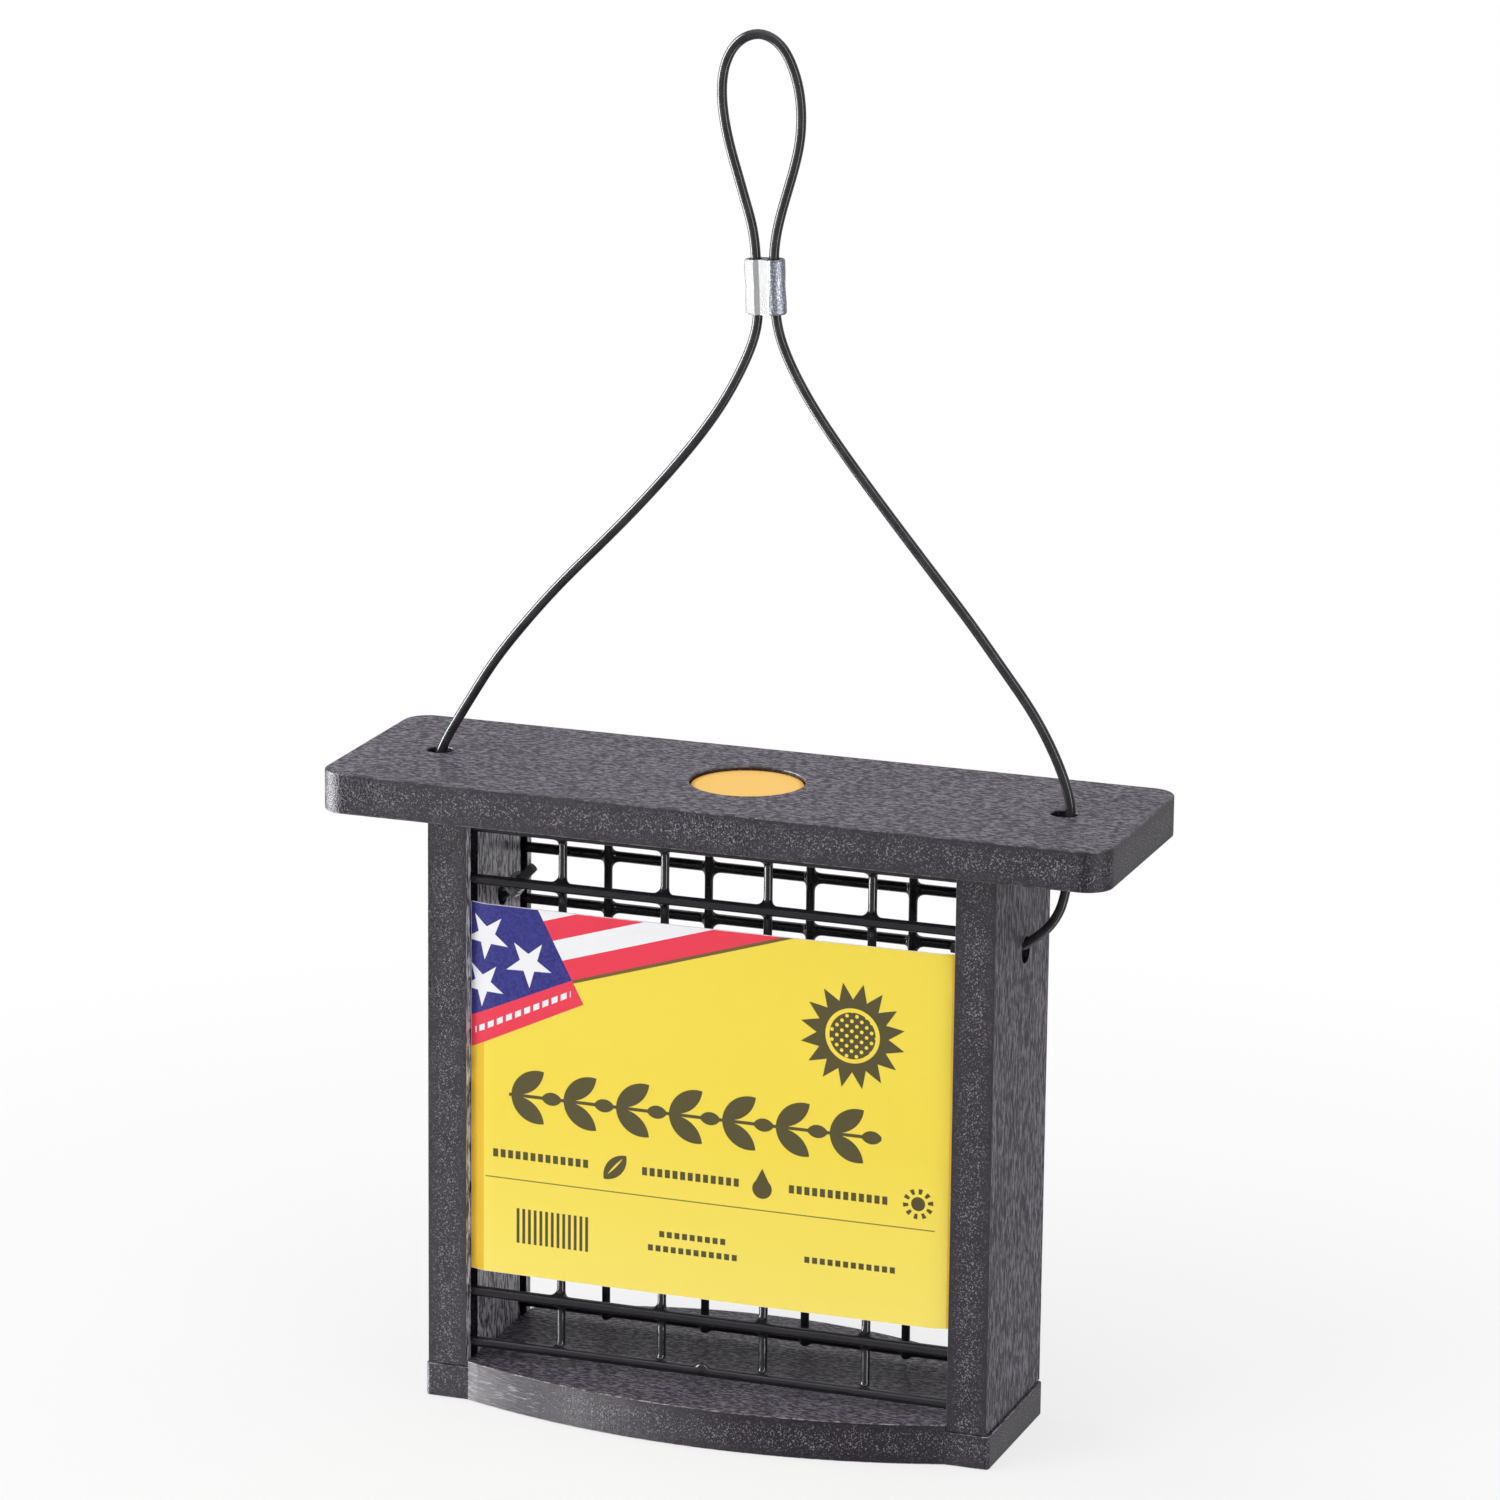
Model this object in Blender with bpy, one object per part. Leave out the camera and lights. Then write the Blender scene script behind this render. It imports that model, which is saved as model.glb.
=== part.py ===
"""A hanging suet feeder: two side boards on a bowed base, wire panels in saw kerfs and a loose roof on a cable.

Metres, +Z up. The front faces -Y and +X is to the right of someone who faces the front. The origin is on the
ground under the middle of the roof, the longest piece. The roof lies a little to one side of the housing.
"""
import math

import bmesh
import bpy
import numpy as np
from mathutils import Matrix, Vector

# Clearances and cuts
SEAT_GAP = 0.0003
CUT_OVERRUN = 0.002

# Planks, all sawn from one stock
PLANK_THICKNESS = 0.0097
PLANK_DEPTH = 0.0413
ARRIS = 0.0004

# Housing
OPENING_WIDTH = 0.120
SIDE_HEIGHT = 0.1351
BASE_LIP = 0.0007
BASE_CORNER_RADIUS = 0.001
RABBET_DEPTH = 0.0016
FRONT_BOW = 0.0105
BACK_BOW = 0.0162

# Roof: how far it reaches past the side boards, and how far it lies to one side
ROOF_OVERHANG = 0.0263
ROOF_DEPTH = 0.0594
ROOF_CORNER_RADIUS = 0.0064
ROOF_SLIP = 0.002

# Cable and its holes: the roof's lie outside the side boards, the side boards' a drop below their tops
CABLE_DIAMETER = 0.0023
CABLE_HOLE_DIAMETER = 0.0064
ROOF_HOLE_OFFSET = 0.0073
SIDE_HOLE_DROP = 0.0241
SIDE_HOLE_SETBACK = 0.0025

# Places that follow from the driving sizes
HALF_OPENING = OPENING_WIDTH / 2
HALF_HOUSING = HALF_OPENING + PLANK_THICKNESS
HALF_DEPTH = PLANK_DEPTH / 2
SIDE_MIDDLE = HALF_OPENING + PLANK_THICKNESS / 2
BASE_END_TOP = PLANK_THICKNESS - RABBET_DEPTH
SIDE_BOTTOM = BASE_END_TOP + SEAT_GAP
ROOF_BOTTOM = SIDE_BOTTOM + SIDE_HEIGHT + SEAT_GAP
ROOF_TOP = ROOF_BOTTOM + PLANK_THICKNESS
ROOF_LENGTH = 2 * (HALF_HOUSING + ROOF_OVERHANG)
ROOF_HOLE_X = HALF_HOUSING + ROOF_HOLE_OFFSET
CENTRE_Y = (FRONT_BOW - BACK_BOW) / 2

for old in list(bpy.data.objects):
    bpy.data.objects.remove(old, do_unlink=True)


def material(name, colour, roughness, metallic=0.0):
    """A plain finish for one piece."""
    made = bpy.data.materials.new(name)
    made.use_nodes = True
    shader = made.node_tree.nodes["Principled BSDF"]
    shader.inputs["Base Color"].default_value = (*colour, 1.0)
    shader.inputs["Roughness"].default_value = roughness
    shader.inputs["Metallic"].default_value = metallic
    return made


def frame_empty(name, place):
    """An empty that carries the pieces of one moving body."""
    empty = bpy.data.objects.new(name, None)
    empty.location = place
    bpy.context.scene.collection.objects.link(empty)
    return empty


def piece(name, bm, parent, place=(0, 0, 0), turn=(0, 0, 0)):
    """Turns a bmesh into a named object, smooth where it is round."""
    mesh = bpy.data.meshes.new(name)
    bm.to_mesh(mesh)
    bm.free()
    mesh.shade_smooth()
    mesh.set_sharp_from_angle(angle=math.radians(30))
    made = bpy.data.objects.new(name, mesh)
    made.parent = parent
    made.location = place
    made.rotation_euler = turn
    bpy.context.scene.collection.objects.link(made)
    return made


def finish(made, colour, roughness, metallic=0.0):
    """Gives a piece a material of its own."""
    made.data.materials.append(material(made.name, colour, roughness, metallic))


def combine(target, tool, operation):
    """Adds a Boolean of the tool, which shares the target's frame and is only a guide."""
    tool.hide_render = True
    tool.display_type = "WIRE"
    modifier = target.modifiers.new(tool.name, "BOOLEAN")
    modifier.operation = operation
    modifier.solver = "EXACT"
    modifier.object = tool


def add_box(bm, low, high):
    """A box between two corners."""
    size = Vector(high) - Vector(low)
    middle = (Vector(high) + Vector(low)) / 2
    bmesh.ops.create_cube(bm, size=1, matrix=Matrix.Translation(middle) @ Matrix.Diagonal((*size, 1)))


def add_rod(bm, radius, length, middle, turn=Matrix.Identity(4), sides=24):
    """A round rod, along Z before its turn."""
    place = Matrix.Translation(middle) @ turn
    bmesh.ops.create_cone(
        bm, cap_ends=True, segments=sides, radius1=radius, radius2=radius, depth=length, matrix=place
    )


def extrude_up(bm, faces, height):
    """Pulls flat faces up into a block and gives back its top faces."""
    pulled = bmesh.ops.extrude_face_region(bm, geom=faces)["geom"]
    moved = [part for part in pulled if isinstance(part, bmesh.types.BMVert)]
    bmesh.ops.translate(bm, verts=moved, vec=(0, 0, height))
    return [part for part in pulled if isinstance(part, bmesh.types.BMFace)]


def prism(bm, outline, height):
    """A block over a flat outline."""
    base = bm.faces.new([bm.verts.new((x, y, 0)) for x, y in outline])
    extrude_up(bm, [base], height)
    bmesh.ops.recalc_face_normals(bm, faces=bm.faces)


def ease_edges(bm, width, least_angle=math.radians(40)):
    """Takes the arris off every edge that is sharper than the angle."""
    sharp = [edge for edge in bm.edges if edge.calc_face_angle(0) > least_angle]
    bmesh.ops.bevel(bm, geom=sharp, offset=width, offset_type="OFFSET", segments=1, profile=0.5, affect="EDGES")


def add_turned(bm, profile, place=(0, 0, 0), steps=24):
    """A turned piece: its profile of radii and heights starts and ends on the axis."""
    earlier = set(bm.verts)
    verts = [bm.verts.new((radius, 0, height)) for radius, height in profile]
    edges = [bm.edges.new(pair) for pair in zip(verts, verts[1:])]
    bmesh.ops.spin(
        bm, geom=verts + edges, cent=(0, 0, 0), axis=(0, 0, 1), angle=math.tau, steps=steps, use_merge=True
    )
    bmesh.ops.remove_doubles(bm, verts=[vert for vert in bm.verts if vert not in earlier], dist=SEAT_GAP / 100)
    bmesh.ops.recalc_face_normals(bm, faces=[face for face in bm.faces if face.verts[0] not in earlier])
    bmesh.ops.translate(bm, verts=[vert for vert in bm.verts if vert not in earlier], vec=place)


def arc(half_chord, rise, steps):
    """Points of a shallow arc from -half_chord to half_chord, as distances along and out from its chord."""
    radius = (half_chord**2 + rise**2) / (2 * rise)
    reach = math.asin(half_chord / radius)
    angles = [reach * (2 * step / steps - 1) for step in range(steps + 1)]
    return [(radius * math.sin(angle), radius * math.cos(angle) - radius + rise) for angle in angles]


# Screws, up through the base into the side boards
SCREW_LENGTH = 0.0254
SCREW_SHANK_RADIUS = 0.00175
SCREW_HEAD_RADIUS = 0.0034
SCREW_HEAD_HEIGHT = 0.0021
SCREW_POINT_LENGTH = 0.003
SCREW_SINK = 0.0004
SCREW_EDGE_DISTANCE = 0.01165
DRIVE_REACH = 0.0019
DRIVE_ARM_WIDTH = 0.0009
DRIVE_DEPTH = 0.0012


def screw_profile(clearance):
    """Radii and heights of a countersunk screw, grown by a clearance for the hole that it fits."""
    return [
        (0, SCREW_SINK - clearance),
        (SCREW_HEAD_RADIUS + clearance, SCREW_SINK - clearance),
        (SCREW_HEAD_RADIUS + clearance, SCREW_SINK),
        (SCREW_SHANK_RADIUS + clearance, SCREW_SINK + SCREW_HEAD_HEIGHT),
        (SCREW_SHANK_RADIUS + clearance, SCREW_SINK + SCREW_LENGTH - SCREW_POINT_LENGTH),
        (0, SCREW_SINK + SCREW_LENGTH + clearance),
    ]


def solid_profile(profile):
    """A profile without the zero-length steps that a clearance of nothing leaves."""
    return [point for index, point in enumerate(profile) if index == 0 or point != profile[index - 1]]


def add_screw_hole(bm, place):
    """The clearance hole and countersink for one screw, open below."""
    profile = screw_profile(SEAT_GAP)
    profile[0] = (0, -CUT_OVERRUN)
    profile[1] = (SCREW_HEAD_RADIUS + SEAT_GAP, -CUT_OVERRUN)
    add_turned(bm, profile, place)


def cross_outline(reach, width):
    """A plus sign, anticlockwise."""
    quarter = [(reach, -width / 2), (reach, width / 2), (width / 2, width / 2)]
    points = []
    for turn in range(4):
        cos, sin = round(math.cos(turn * math.tau / 4)), round(math.sin(turn * math.tau / 4))
        points += [(x * cos - y * sin, x * sin + y * cos) for x, y in quarter]
    return points


def make_screw(name, place):
    """One countersunk screw with a cross drive, its head downwards."""
    bm = bmesh.new()
    add_turned(bm, solid_profile(screw_profile(0)))
    screw = piece(name, bm, housing, place)
    drive = bmesh.new()
    prism(drive, cross_outline(DRIVE_REACH, DRIVE_ARM_WIDTH), CUT_OVERRUN + DRIVE_DEPTH)
    bmesh.ops.translate(drive, verts=drive.verts, vec=(0, 0, SCREW_SINK - CUT_OVERRUN))
    combine(screw, piece(name + "_drive", drive, screw), "DIFFERENCE")
    finish(screw, (0.55, 0.54, 0.52), 0.35, 1.0)


def screw_places(x):
    """Where the two screws under one side board stand."""
    reach = HALF_DEPTH - SCREW_EDGE_DISTANCE
    return [(x, y, 0) for y in (-reach, reach)]


# Base: straight under the side boards, bowed out between them, with a rabbet at each end
BOW_STEPS = 20
HALF_BASE = HALF_HOUSING + BASE_LIP
SHOULDER = HALF_OPENING - SEAT_GAP


def make_base():
    """The base plank: three fields side by side, the middle one a rabbet's depth higher."""
    bm = bmesh.new()
    front = [bm.verts.new((x, -HALF_DEPTH - out, 0)) for x, out in arc(SHOULDER, FRONT_BOW, BOW_STEPS)]
    back = [bm.verts.new((x, HALF_DEPTH + out, 0)) for x, out in arc(SHOULDER, BACK_BOW, BOW_STEPS)]
    left = [bm.verts.new((-HALF_BASE, y, 0)) for y in (-HALF_DEPTH, HALF_DEPTH)]
    right = [bm.verts.new((HALF_BASE, y, 0)) for y in (-HALF_DEPTH, HALF_DEPTH)]
    fields = [
        bm.faces.new([left[0], front[0], back[0], left[1]]),
        bm.faces.new(front + back[::-1]),
        bm.faces.new([front[-1], right[0], right[1], back[-1]]),
    ]
    tops = extrude_up(bm, fields, BASE_END_TOP)
    middle = [face for face in tops if len(face.verts) > 4]
    extrude_up(bm, middle, RABBET_DEPTH)
    bmesh.ops.delete(bm, geom=middle, context="FACES_ONLY")
    bmesh.ops.recalc_face_normals(bm, faces=bm.faces)
    corners = [
        edge for edge in bm.edges
        if all(abs(abs(vert.co.x) - HALF_BASE) < SEAT_GAP for vert in edge.verts)
        and abs(edge.verts[0].co.z - edge.verts[1].co.z) > RABBET_DEPTH
    ]
    bmesh.ops.bevel(
        bm, geom=corners, offset=BASE_CORNER_RADIUS, offset_type="OFFSET", segments=4, profile=0.5, affect="EDGES"
    )
    ease_edges(bm, ARRIS)
    base = piece("base_board", bm, housing)
    holes = bmesh.new()
    for x in (-SIDE_MIDDLE, SIDE_MIDDLE):
        for place in screw_places(x):
            add_screw_hole(holes, place)
    combine(base, piece("base_holes", holes, base), "DIFFERENCE")
    finish(base, PLANK_COLOUR, PLANK_ROUGHNESS)


# Side boards: two saw kerfs on the inner face, one cable hole and two pilot holes
KERF_EDGE_DISTANCE = 0.00495
KERF_Y = HALF_DEPTH - KERF_EDGE_DISTANCE
KERF_WIDTH = 0.0044
KERF_DEPTH = 0.0052
PLANK_COLOUR = (0.068, 0.063, 0.072)
PLANK_ROUGHNESS = 0.6


def make_side_board(name, side):
    """One upright; side is -1 for the left and 1 for the right."""
    half = PLANK_THICKNESS / 2
    bm = bmesh.new()
    add_box(bm, (-half, -HALF_DEPTH, 0), (half, HALF_DEPTH, SIDE_HEIGHT))
    ease_edges(bm, ARRIS)
    board = piece(name, bm, housing, (side * SIDE_MIDDLE, 0, SIDE_BOTTOM))
    cuts = bmesh.new()
    kerf_floor = side * (KERF_DEPTH - half)
    kerf_mouth = side * (-half - CUT_OVERRUN)
    for middle in (-KERF_Y, KERF_Y):
        low = (min(kerf_floor, kerf_mouth), middle - KERF_WIDTH / 2, -CUT_OVERRUN)
        high = (max(kerf_floor, kerf_mouth), middle + KERF_WIDTH / 2, SIDE_HEIGHT + CUT_OVERRUN)
        add_box(cuts, low, high)
    hole_middle = (0, SIDE_HOLE_SETBACK, SIDE_HEIGHT - SIDE_HOLE_DROP)
    across = Matrix.Rotation(math.tau / 4, 4, "Y")
    add_rod(cuts, CABLE_HOLE_DIAMETER / 2, PLANK_THICKNESS + 2 * CUT_OVERRUN, hole_middle, across, sides=32)
    for x, y, z in screw_places(0):
        add_turned(cuts, screw_profile(SEAT_GAP), (x, y, z - SIDE_BOTTOM))
    combine(board, piece(name + "_cuts", cuts, board), "DIFFERENCE")
    finish(board, PLANK_COLOUR, PLANK_ROUGHNESS)


# Roof: round corners, two cable holes and a shallow round recess for the medallion
RECESS_DIAMETER = 0.027
RECESS_DEPTH = 0.0022
MEDALLION_THICKNESS = 0.00095
MEDALLION_EDGE = 0.00015
CORNER_STEPS = 8


def rounded_outline(length, depth, radius):
    """A rectangle with round corners, anticlockwise."""
    points = []
    for quarter, (x_sign, y_sign) in enumerate(((1, 1), (-1, 1), (-1, -1), (1, -1))):
        middle_x, middle_y = x_sign * (length / 2 - radius), y_sign * (depth / 2 - radius)
        for step in range(CORNER_STEPS + 1):
            angle = (quarter + step / CORNER_STEPS) * math.tau / 4
            points.append((middle_x + radius * math.cos(angle), middle_y + radius * math.sin(angle)))
    return points


def make_roof():
    """The roof plank."""
    bm = bmesh.new()
    prism(bm, rounded_outline(ROOF_LENGTH, ROOF_DEPTH, ROOF_CORNER_RADIUS), PLANK_THICKNESS)
    ease_edges(bm, ARRIS)
    board = piece("roof_board", bm, roof)
    cuts = bmesh.new()
    for x in (-ROOF_HOLE_X, ROOF_HOLE_X):
        add_rod(cuts, CABLE_HOLE_DIAMETER / 2, PLANK_THICKNESS + 2 * CUT_OVERRUN, (x, 0, PLANK_THICKNESS / 2), sides=32)
    cut_height = RECESS_DEPTH + CUT_OVERRUN
    middle = PLANK_THICKNESS - RECESS_DEPTH + cut_height / 2
    add_rod(cuts, RECESS_DIAMETER / 2, cut_height, (0, 0, middle), sides=64)
    combine(board, piece("roof_cuts", cuts, board), "DIFFERENCE")
    finish(board, PLANK_COLOUR, PLANK_ROUGHNESS)


def make_medallion():
    """The bare disc that lies in the roof's recess."""
    radius = RECESS_DIAMETER / 2 - SEAT_GAP
    profile = [
        (0, 0),
        (radius - MEDALLION_EDGE, 0),
        (radius, MEDALLION_EDGE),
        (radius, MEDALLION_THICKNESS - MEDALLION_EDGE),
        (radius - MEDALLION_EDGE, MEDALLION_THICKNESS),
        (0, MEDALLION_THICKNESS),
    ]
    bm = bmesh.new()
    add_turned(bm, profile, steps=64)
    height = PLANK_THICKNESS - RECESS_DEPTH + SEAT_GAP
    finish(piece("roof_medallion", bm, roof, (0, 0, height)), (0.87, 0.55, 0.14), 0.35)


# Wire panels: upright wires on the inner side, cross wires welded to them on the outer side. They reach
# nearly to the kerfs' floors, and have play in height between the base and the roof.
WIRE_DIAMETER = 0.002
WELD_BITE = 0.0003
UPRIGHT_PITCH = 0.0254
CROSS_PITCH = 0.0127
LEAST_STUB = 0.0005
PANEL_SIDE_GAP = 0.0007
PANEL_PLAY = 0.0039
FRONT_PANEL_LIFT = 0.0022
BACK_PANEL_LIFT = 0.0014
WIRE_SIDES = 8
LAYER_SPACING = WIRE_DIAMETER - WELD_BITE
PANEL_WIDTH = OPENING_WIDTH + 2 * (KERF_DEPTH - PANEL_SIDE_GAP)
PANEL_HEIGHT = ROOF_BOTTOM - PLANK_THICKNESS - PANEL_PLAY


def wire_places(space, pitch):
    """Places of the wires that fit in a space at a pitch, even about its middle, with a stub at each end."""
    gaps = math.floor((space - 2 * LEAST_STUB) / pitch)
    return [space / 2 + (index - gaps / 2) * pitch for index in range(gaps + 1)]


def make_panel(name, lift, turn):
    """A welded panel, its cross wires towards -Y before it is turned to face its own side."""
    corner_radius = WIRE_DIAMETER / 2 / math.cos(math.pi / WIRE_SIDES)
    flat_turn = Matrix.Rotation(math.pi / WIRE_SIDES, 4, "Z")
    uprights = bmesh.new()
    for x in wire_places(PANEL_WIDTH, UPRIGHT_PITCH):
        middle = (x - PANEL_WIDTH / 2, LAYER_SPACING / 2, PANEL_HEIGHT / 2)
        add_rod(uprights, corner_radius, PANEL_HEIGHT, middle, flat_turn, WIRE_SIDES)
    along = Matrix.Rotation(math.tau / 4, 4, "Y") @ flat_turn
    crosses = bmesh.new()
    for z in wire_places(PANEL_HEIGHT, CROSS_PITCH):
        add_rod(crosses, corner_radius, PANEL_WIDTH, (0, -LAYER_SPACING / 2, z), along, WIRE_SIDES)
    side = -math.cos(turn)
    place = (0, side * KERF_Y, PLANK_THICKNESS + lift)
    panel = piece(name, crosses, housing, place, (0, 0, turn))
    combine(panel, piece(name + "_uprights", uprights, panel), "UNION")
    finish(panel, (0.012, 0.012, 0.014), 0.25)


# Label card: flat in front of the front panel, with a narrow folded band down each side, a lift above the
# base and a drop below the roof
CARD_THICKNESS = 0.0004
CARD_LIFT = 0.0228
CARD_DROP = 0.021
CARD_BAND_WIDTH = 0.0036
CARD_FOLD = 0.00105
CARD_BOW = 0.0004
CARD_STEPS = 12
CARD_BOTTOM = PLANK_THICKNESS + CARD_LIFT
CARD_HEIGHT = ROOF_BOTTOM - CARD_DROP - CARD_BOTTOM


def make_card():
    """The card, which stands between the side boards against the front panel."""
    edge = HALF_OPENING - SEAT_GAP
    panel_front = -KERF_Y - LAYER_SPACING / 2 - WIRE_DIAMETER / 2
    edge_y = panel_front - SEAT_GAP
    middle = arc(edge - CARD_BAND_WIDTH, CARD_BOW, CARD_STEPS)
    back = [(-edge, edge_y)] + [(x, edge_y - CARD_FOLD - out) for x, out in middle] + [(edge, edge_y)]
    front = [(x, y - CARD_THICKNESS) for x, y in back]
    bm = bmesh.new()
    prism(bm, front + back[::-1], CARD_HEIGHT)
    finish(piece("label_card", bm, housing, (0, 0, CARD_BOTTOM)), (0.91, 0.74, 0.10), 0.5)


# Loop ferrule: a double sleeve, crimped at its waist, with the cable through both barrels
BORE_RADIUS = CABLE_DIAMETER / 2 + SEAT_GAP
FERRULE_HEIGHT = 0.0127
FERRULE_WALL = 0.00105
FERRULE_WEB = 0.0015
FERRULE_GROOVE = 0.0005
FERRULE_DEPTH = 2 * (BORE_RADIUS + FERRULE_WALL)
BARREL_SPACING = 2 * BORE_RADIUS + FERRULE_WEB
FERRULE_WIDTH = BARREL_SPACING + FERRULE_DEPTH
FERRULE_X = 0.0032
FERRULE_Z = 0.2703
FERRULE_LEAN = math.radians(-2.8)
FERRULE_LEVEL_SHARES = (0, 0.05, 0.28, 0.42, 0.58, 0.72, 0.95, 1)
FERRULE_SIZE_SHARES = (0.95, 1, 1, 0.92, 0.92, 1, 1, 0.95)
BARREL_STEPS = 8

# Stop ferrules: short sleeves crimped on the cable's ends, too wide for the side boards' holes
STOP_LENGTH = 0.006
STOP_WALL = 0.00085
STOP_SPREAD = 0.0026
STOP_DEPTH = 2 * (BORE_RADIUS + STOP_WALL)
STOP_WIDTH = STOP_DEPTH + STOP_SPREAD
STOP_LEVEL_SHARES = (0, 0.08, 0.35, 0.65, 0.92, 1)
STOP_SIZE_SHARES = (0.94, 1, 0.94, 0.94, 1, 0.94)
CABLE_PROUD = 0.002


def sleeve_outline(width, depth, groove, steps):
    """An oval sleeve from above: a half round at each end, drawn in by a groove between them."""
    radius = depth / 2
    middle = width / 2 - radius
    points = []
    for side in (1, -1):
        for step in range(steps + 1):
            angle = math.pi * (step / steps - 0.5)
            points.append((side * (middle + radius * math.cos(angle)), side * radius * math.sin(angle)))
        points.append((0, side * (radius - groove)))
    return points


def add_sleeve(bm, height, outlines, level_shares):
    """A loft through outlines at shares of the height, closed at both ends, with its middle at the origin."""
    rings = []
    for outline, share in zip(outlines, level_shares):
        rings.append([bm.verts.new((x, y, (share - 0.5) * height)) for x, y in outline])
    for low, high in zip(rings, rings[1:]):
        for index in range(len(low)):
            follow = (index + 1) % len(low)
            bm.faces.new((low[index], low[follow], high[follow], high[index]))
    bm.faces.new(rings[0][::-1])
    bm.faces.new(rings[-1])
    bmesh.ops.recalc_face_normals(bm, faces=bm.faces)


def make_loop_ferrule():
    """The aluminium sleeve that closes the hanging loop."""
    outlines = [
        sleeve_outline(FERRULE_WIDTH * share, FERRULE_DEPTH * share, FERRULE_GROOVE, BARREL_STEPS)
        for share in FERRULE_SIZE_SHARES
    ]
    bm = bmesh.new()
    add_sleeve(bm, FERRULE_HEIGHT, outlines, FERRULE_LEVEL_SHARES)
    sleeve = piece("loop_ferrule", bm, hanger, turn=(0, FERRULE_LEAN, 0))
    bores = bmesh.new()
    for x in (-BARREL_SPACING / 2, BARREL_SPACING / 2):
        add_rod(bores, BORE_RADIUS, FERRULE_HEIGHT + 2 * CUT_OVERRUN, (x, 0, 0), sides=16)
    combine(sleeve, piece("loop_ferrule_bores", bores, sleeve), "DIFFERENCE")
    finish(sleeve, (0.62, 0.63, 0.65), 0.3, 1.0)


def make_stop_ferrule(name, route):
    """A stop on the straight end of a cable, set back a little from the cable's tip."""
    tip, inner = Vector(route[0]), Vector(route[1])
    along = (inner - tip).normalized()
    middle = tip + along * (CABLE_PROUD + STOP_LENGTH / 2)
    outlines = [sleeve_outline(STOP_WIDTH * share, STOP_DEPTH * share, 0, BARREL_STEPS) for share in STOP_SIZE_SHARES]
    bm = bmesh.new()
    add_sleeve(bm, STOP_LENGTH, outlines, STOP_LEVEL_SHARES)
    wide_across = Matrix.Rotation(math.tau / 4, 4, "Z")
    bmesh.ops.transform(bm, matrix=wide_across, verts=bm.verts)
    turn = math.atan2(along.x, along.z)
    sleeve = piece(name, bm, cable, middle, (0, turn, 0))
    bore = bmesh.new()
    add_rod(bore, BORE_RADIUS, STOP_LENGTH + 2 * CUT_OVERRUN, (0, 0, 0), sides=16)
    combine(sleeve, piece(name + "_bore", bore, sleeve), "DIFFERENCE")
    finish(sleeve, (0.62, 0.63, 0.65), 0.3, 1.0)


# Cable: one length of coated steel rope. Each side's route runs from its tip inside the housing, out
# through the side board, up through the roof and on to the loop ferrule.
LEFT_ROUTE = [
    (-0.0543, -0.00035, 0.1264), (-0.0569, -0.00035, 0.1236), (-0.0595, -0.00035, 0.1208),
    (-0.0626, -0.00035, 0.1186), (-0.0668, -0.00035, 0.11765), (-0.0710, -0.00035, 0.1186),
    (-0.0744, -0.00035, 0.1210), (-0.0765, -0.00035, 0.1239), (-0.0776, -0.0004, 0.1275),
    (-0.0780, -0.0006, 0.1320), (-0.0782, -0.0010, 0.1380), (-0.0782, -0.0018, 0.1440),
    (-0.0779, -0.0026, 0.1490), (-0.0763, -0.00285, 0.1543), (-0.0733, -0.00285, 0.1600),
    (-0.0689, -0.00285, 0.1673), (-0.0640, -0.00285, 0.1751), (-0.0567, -0.00285, 0.1848),
    (-0.0468, -0.00285, 0.1963), (-0.0358, -0.00285, 0.2077), (-0.0252, -0.00285, 0.2191),
    (-0.0158, -0.00285, 0.2302), (-0.0078, -0.00285, 0.2412), (-0.0020, -0.00285, 0.2519),
    (0.0005, -0.00285, 0.2585),
]
RIGHT_ROUTE = [
    (0.0497, -0.00035, 0.1179), (0.0537, -0.00035, 0.1179), (0.0577, -0.00035, 0.1179),
    (0.0610, -0.00035, 0.1181), (0.0644, -0.00035, 0.1190), (0.0677, -0.00035, 0.1208),
    (0.0705, -0.00035, 0.1229), (0.0732, -0.00035, 0.1256), (0.0756, -0.00045, 0.1296),
    (0.0770, -0.0008, 0.1345), (0.0778, -0.0013, 0.1400), (0.0782, -0.0020, 0.1455),
    (0.0785, -0.0027, 0.1505), (0.0783, -0.00285, 0.1555), (0.0767, -0.00285, 0.1614),
    (0.0735, -0.00285, 0.1685), (0.0688, -0.00285, 0.1764), (0.0620, -0.00285, 0.1854),
    (0.0544, -0.00285, 0.1950), (0.0463, -0.00285, 0.2046), (0.0381, -0.00285, 0.2142),
    (0.0301, -0.00285, 0.2237), (0.0223, -0.00285, 0.2333), (0.0151, -0.00285, 0.2430),
    (0.0093, -0.00285, 0.2528), (0.0069, -0.00285, 0.2585),
]
LOOP_ROUTE = [
    (-0.0004, -0.00285, 0.2842), (-0.0020, -0.00285, 0.2896), (-0.0037, -0.00285, 0.2950),
    (-0.0054, -0.00285, 0.3004), (-0.0068, -0.00285, 0.3058), (-0.0077, -0.00285, 0.3112),
    (-0.0078, -0.00285, 0.3170), (-0.0064, -0.00285, 0.3225), (-0.0032, -0.00285, 0.3265),
    (0.0013, -0.00285, 0.3279), (0.0055, -0.00285, 0.3261), (0.0087, -0.00285, 0.3215),
    (0.0105, -0.00285, 0.3160), (0.0112, -0.00285, 0.3097), (0.0109, -0.00285, 0.3040),
    (0.0098, -0.00285, 0.2985), (0.0083, -0.00285, 0.2931), (0.0067, -0.00285, 0.2874),
    (0.0055, -0.00285, 0.2818),
]
LEG_SPACING_SHARE = 3.0
LOOP_SPACING_SHARE = 2.4
TAIL_SPACING_SHARE = 2.0
CABLE_RESOLUTION = 2


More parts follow.
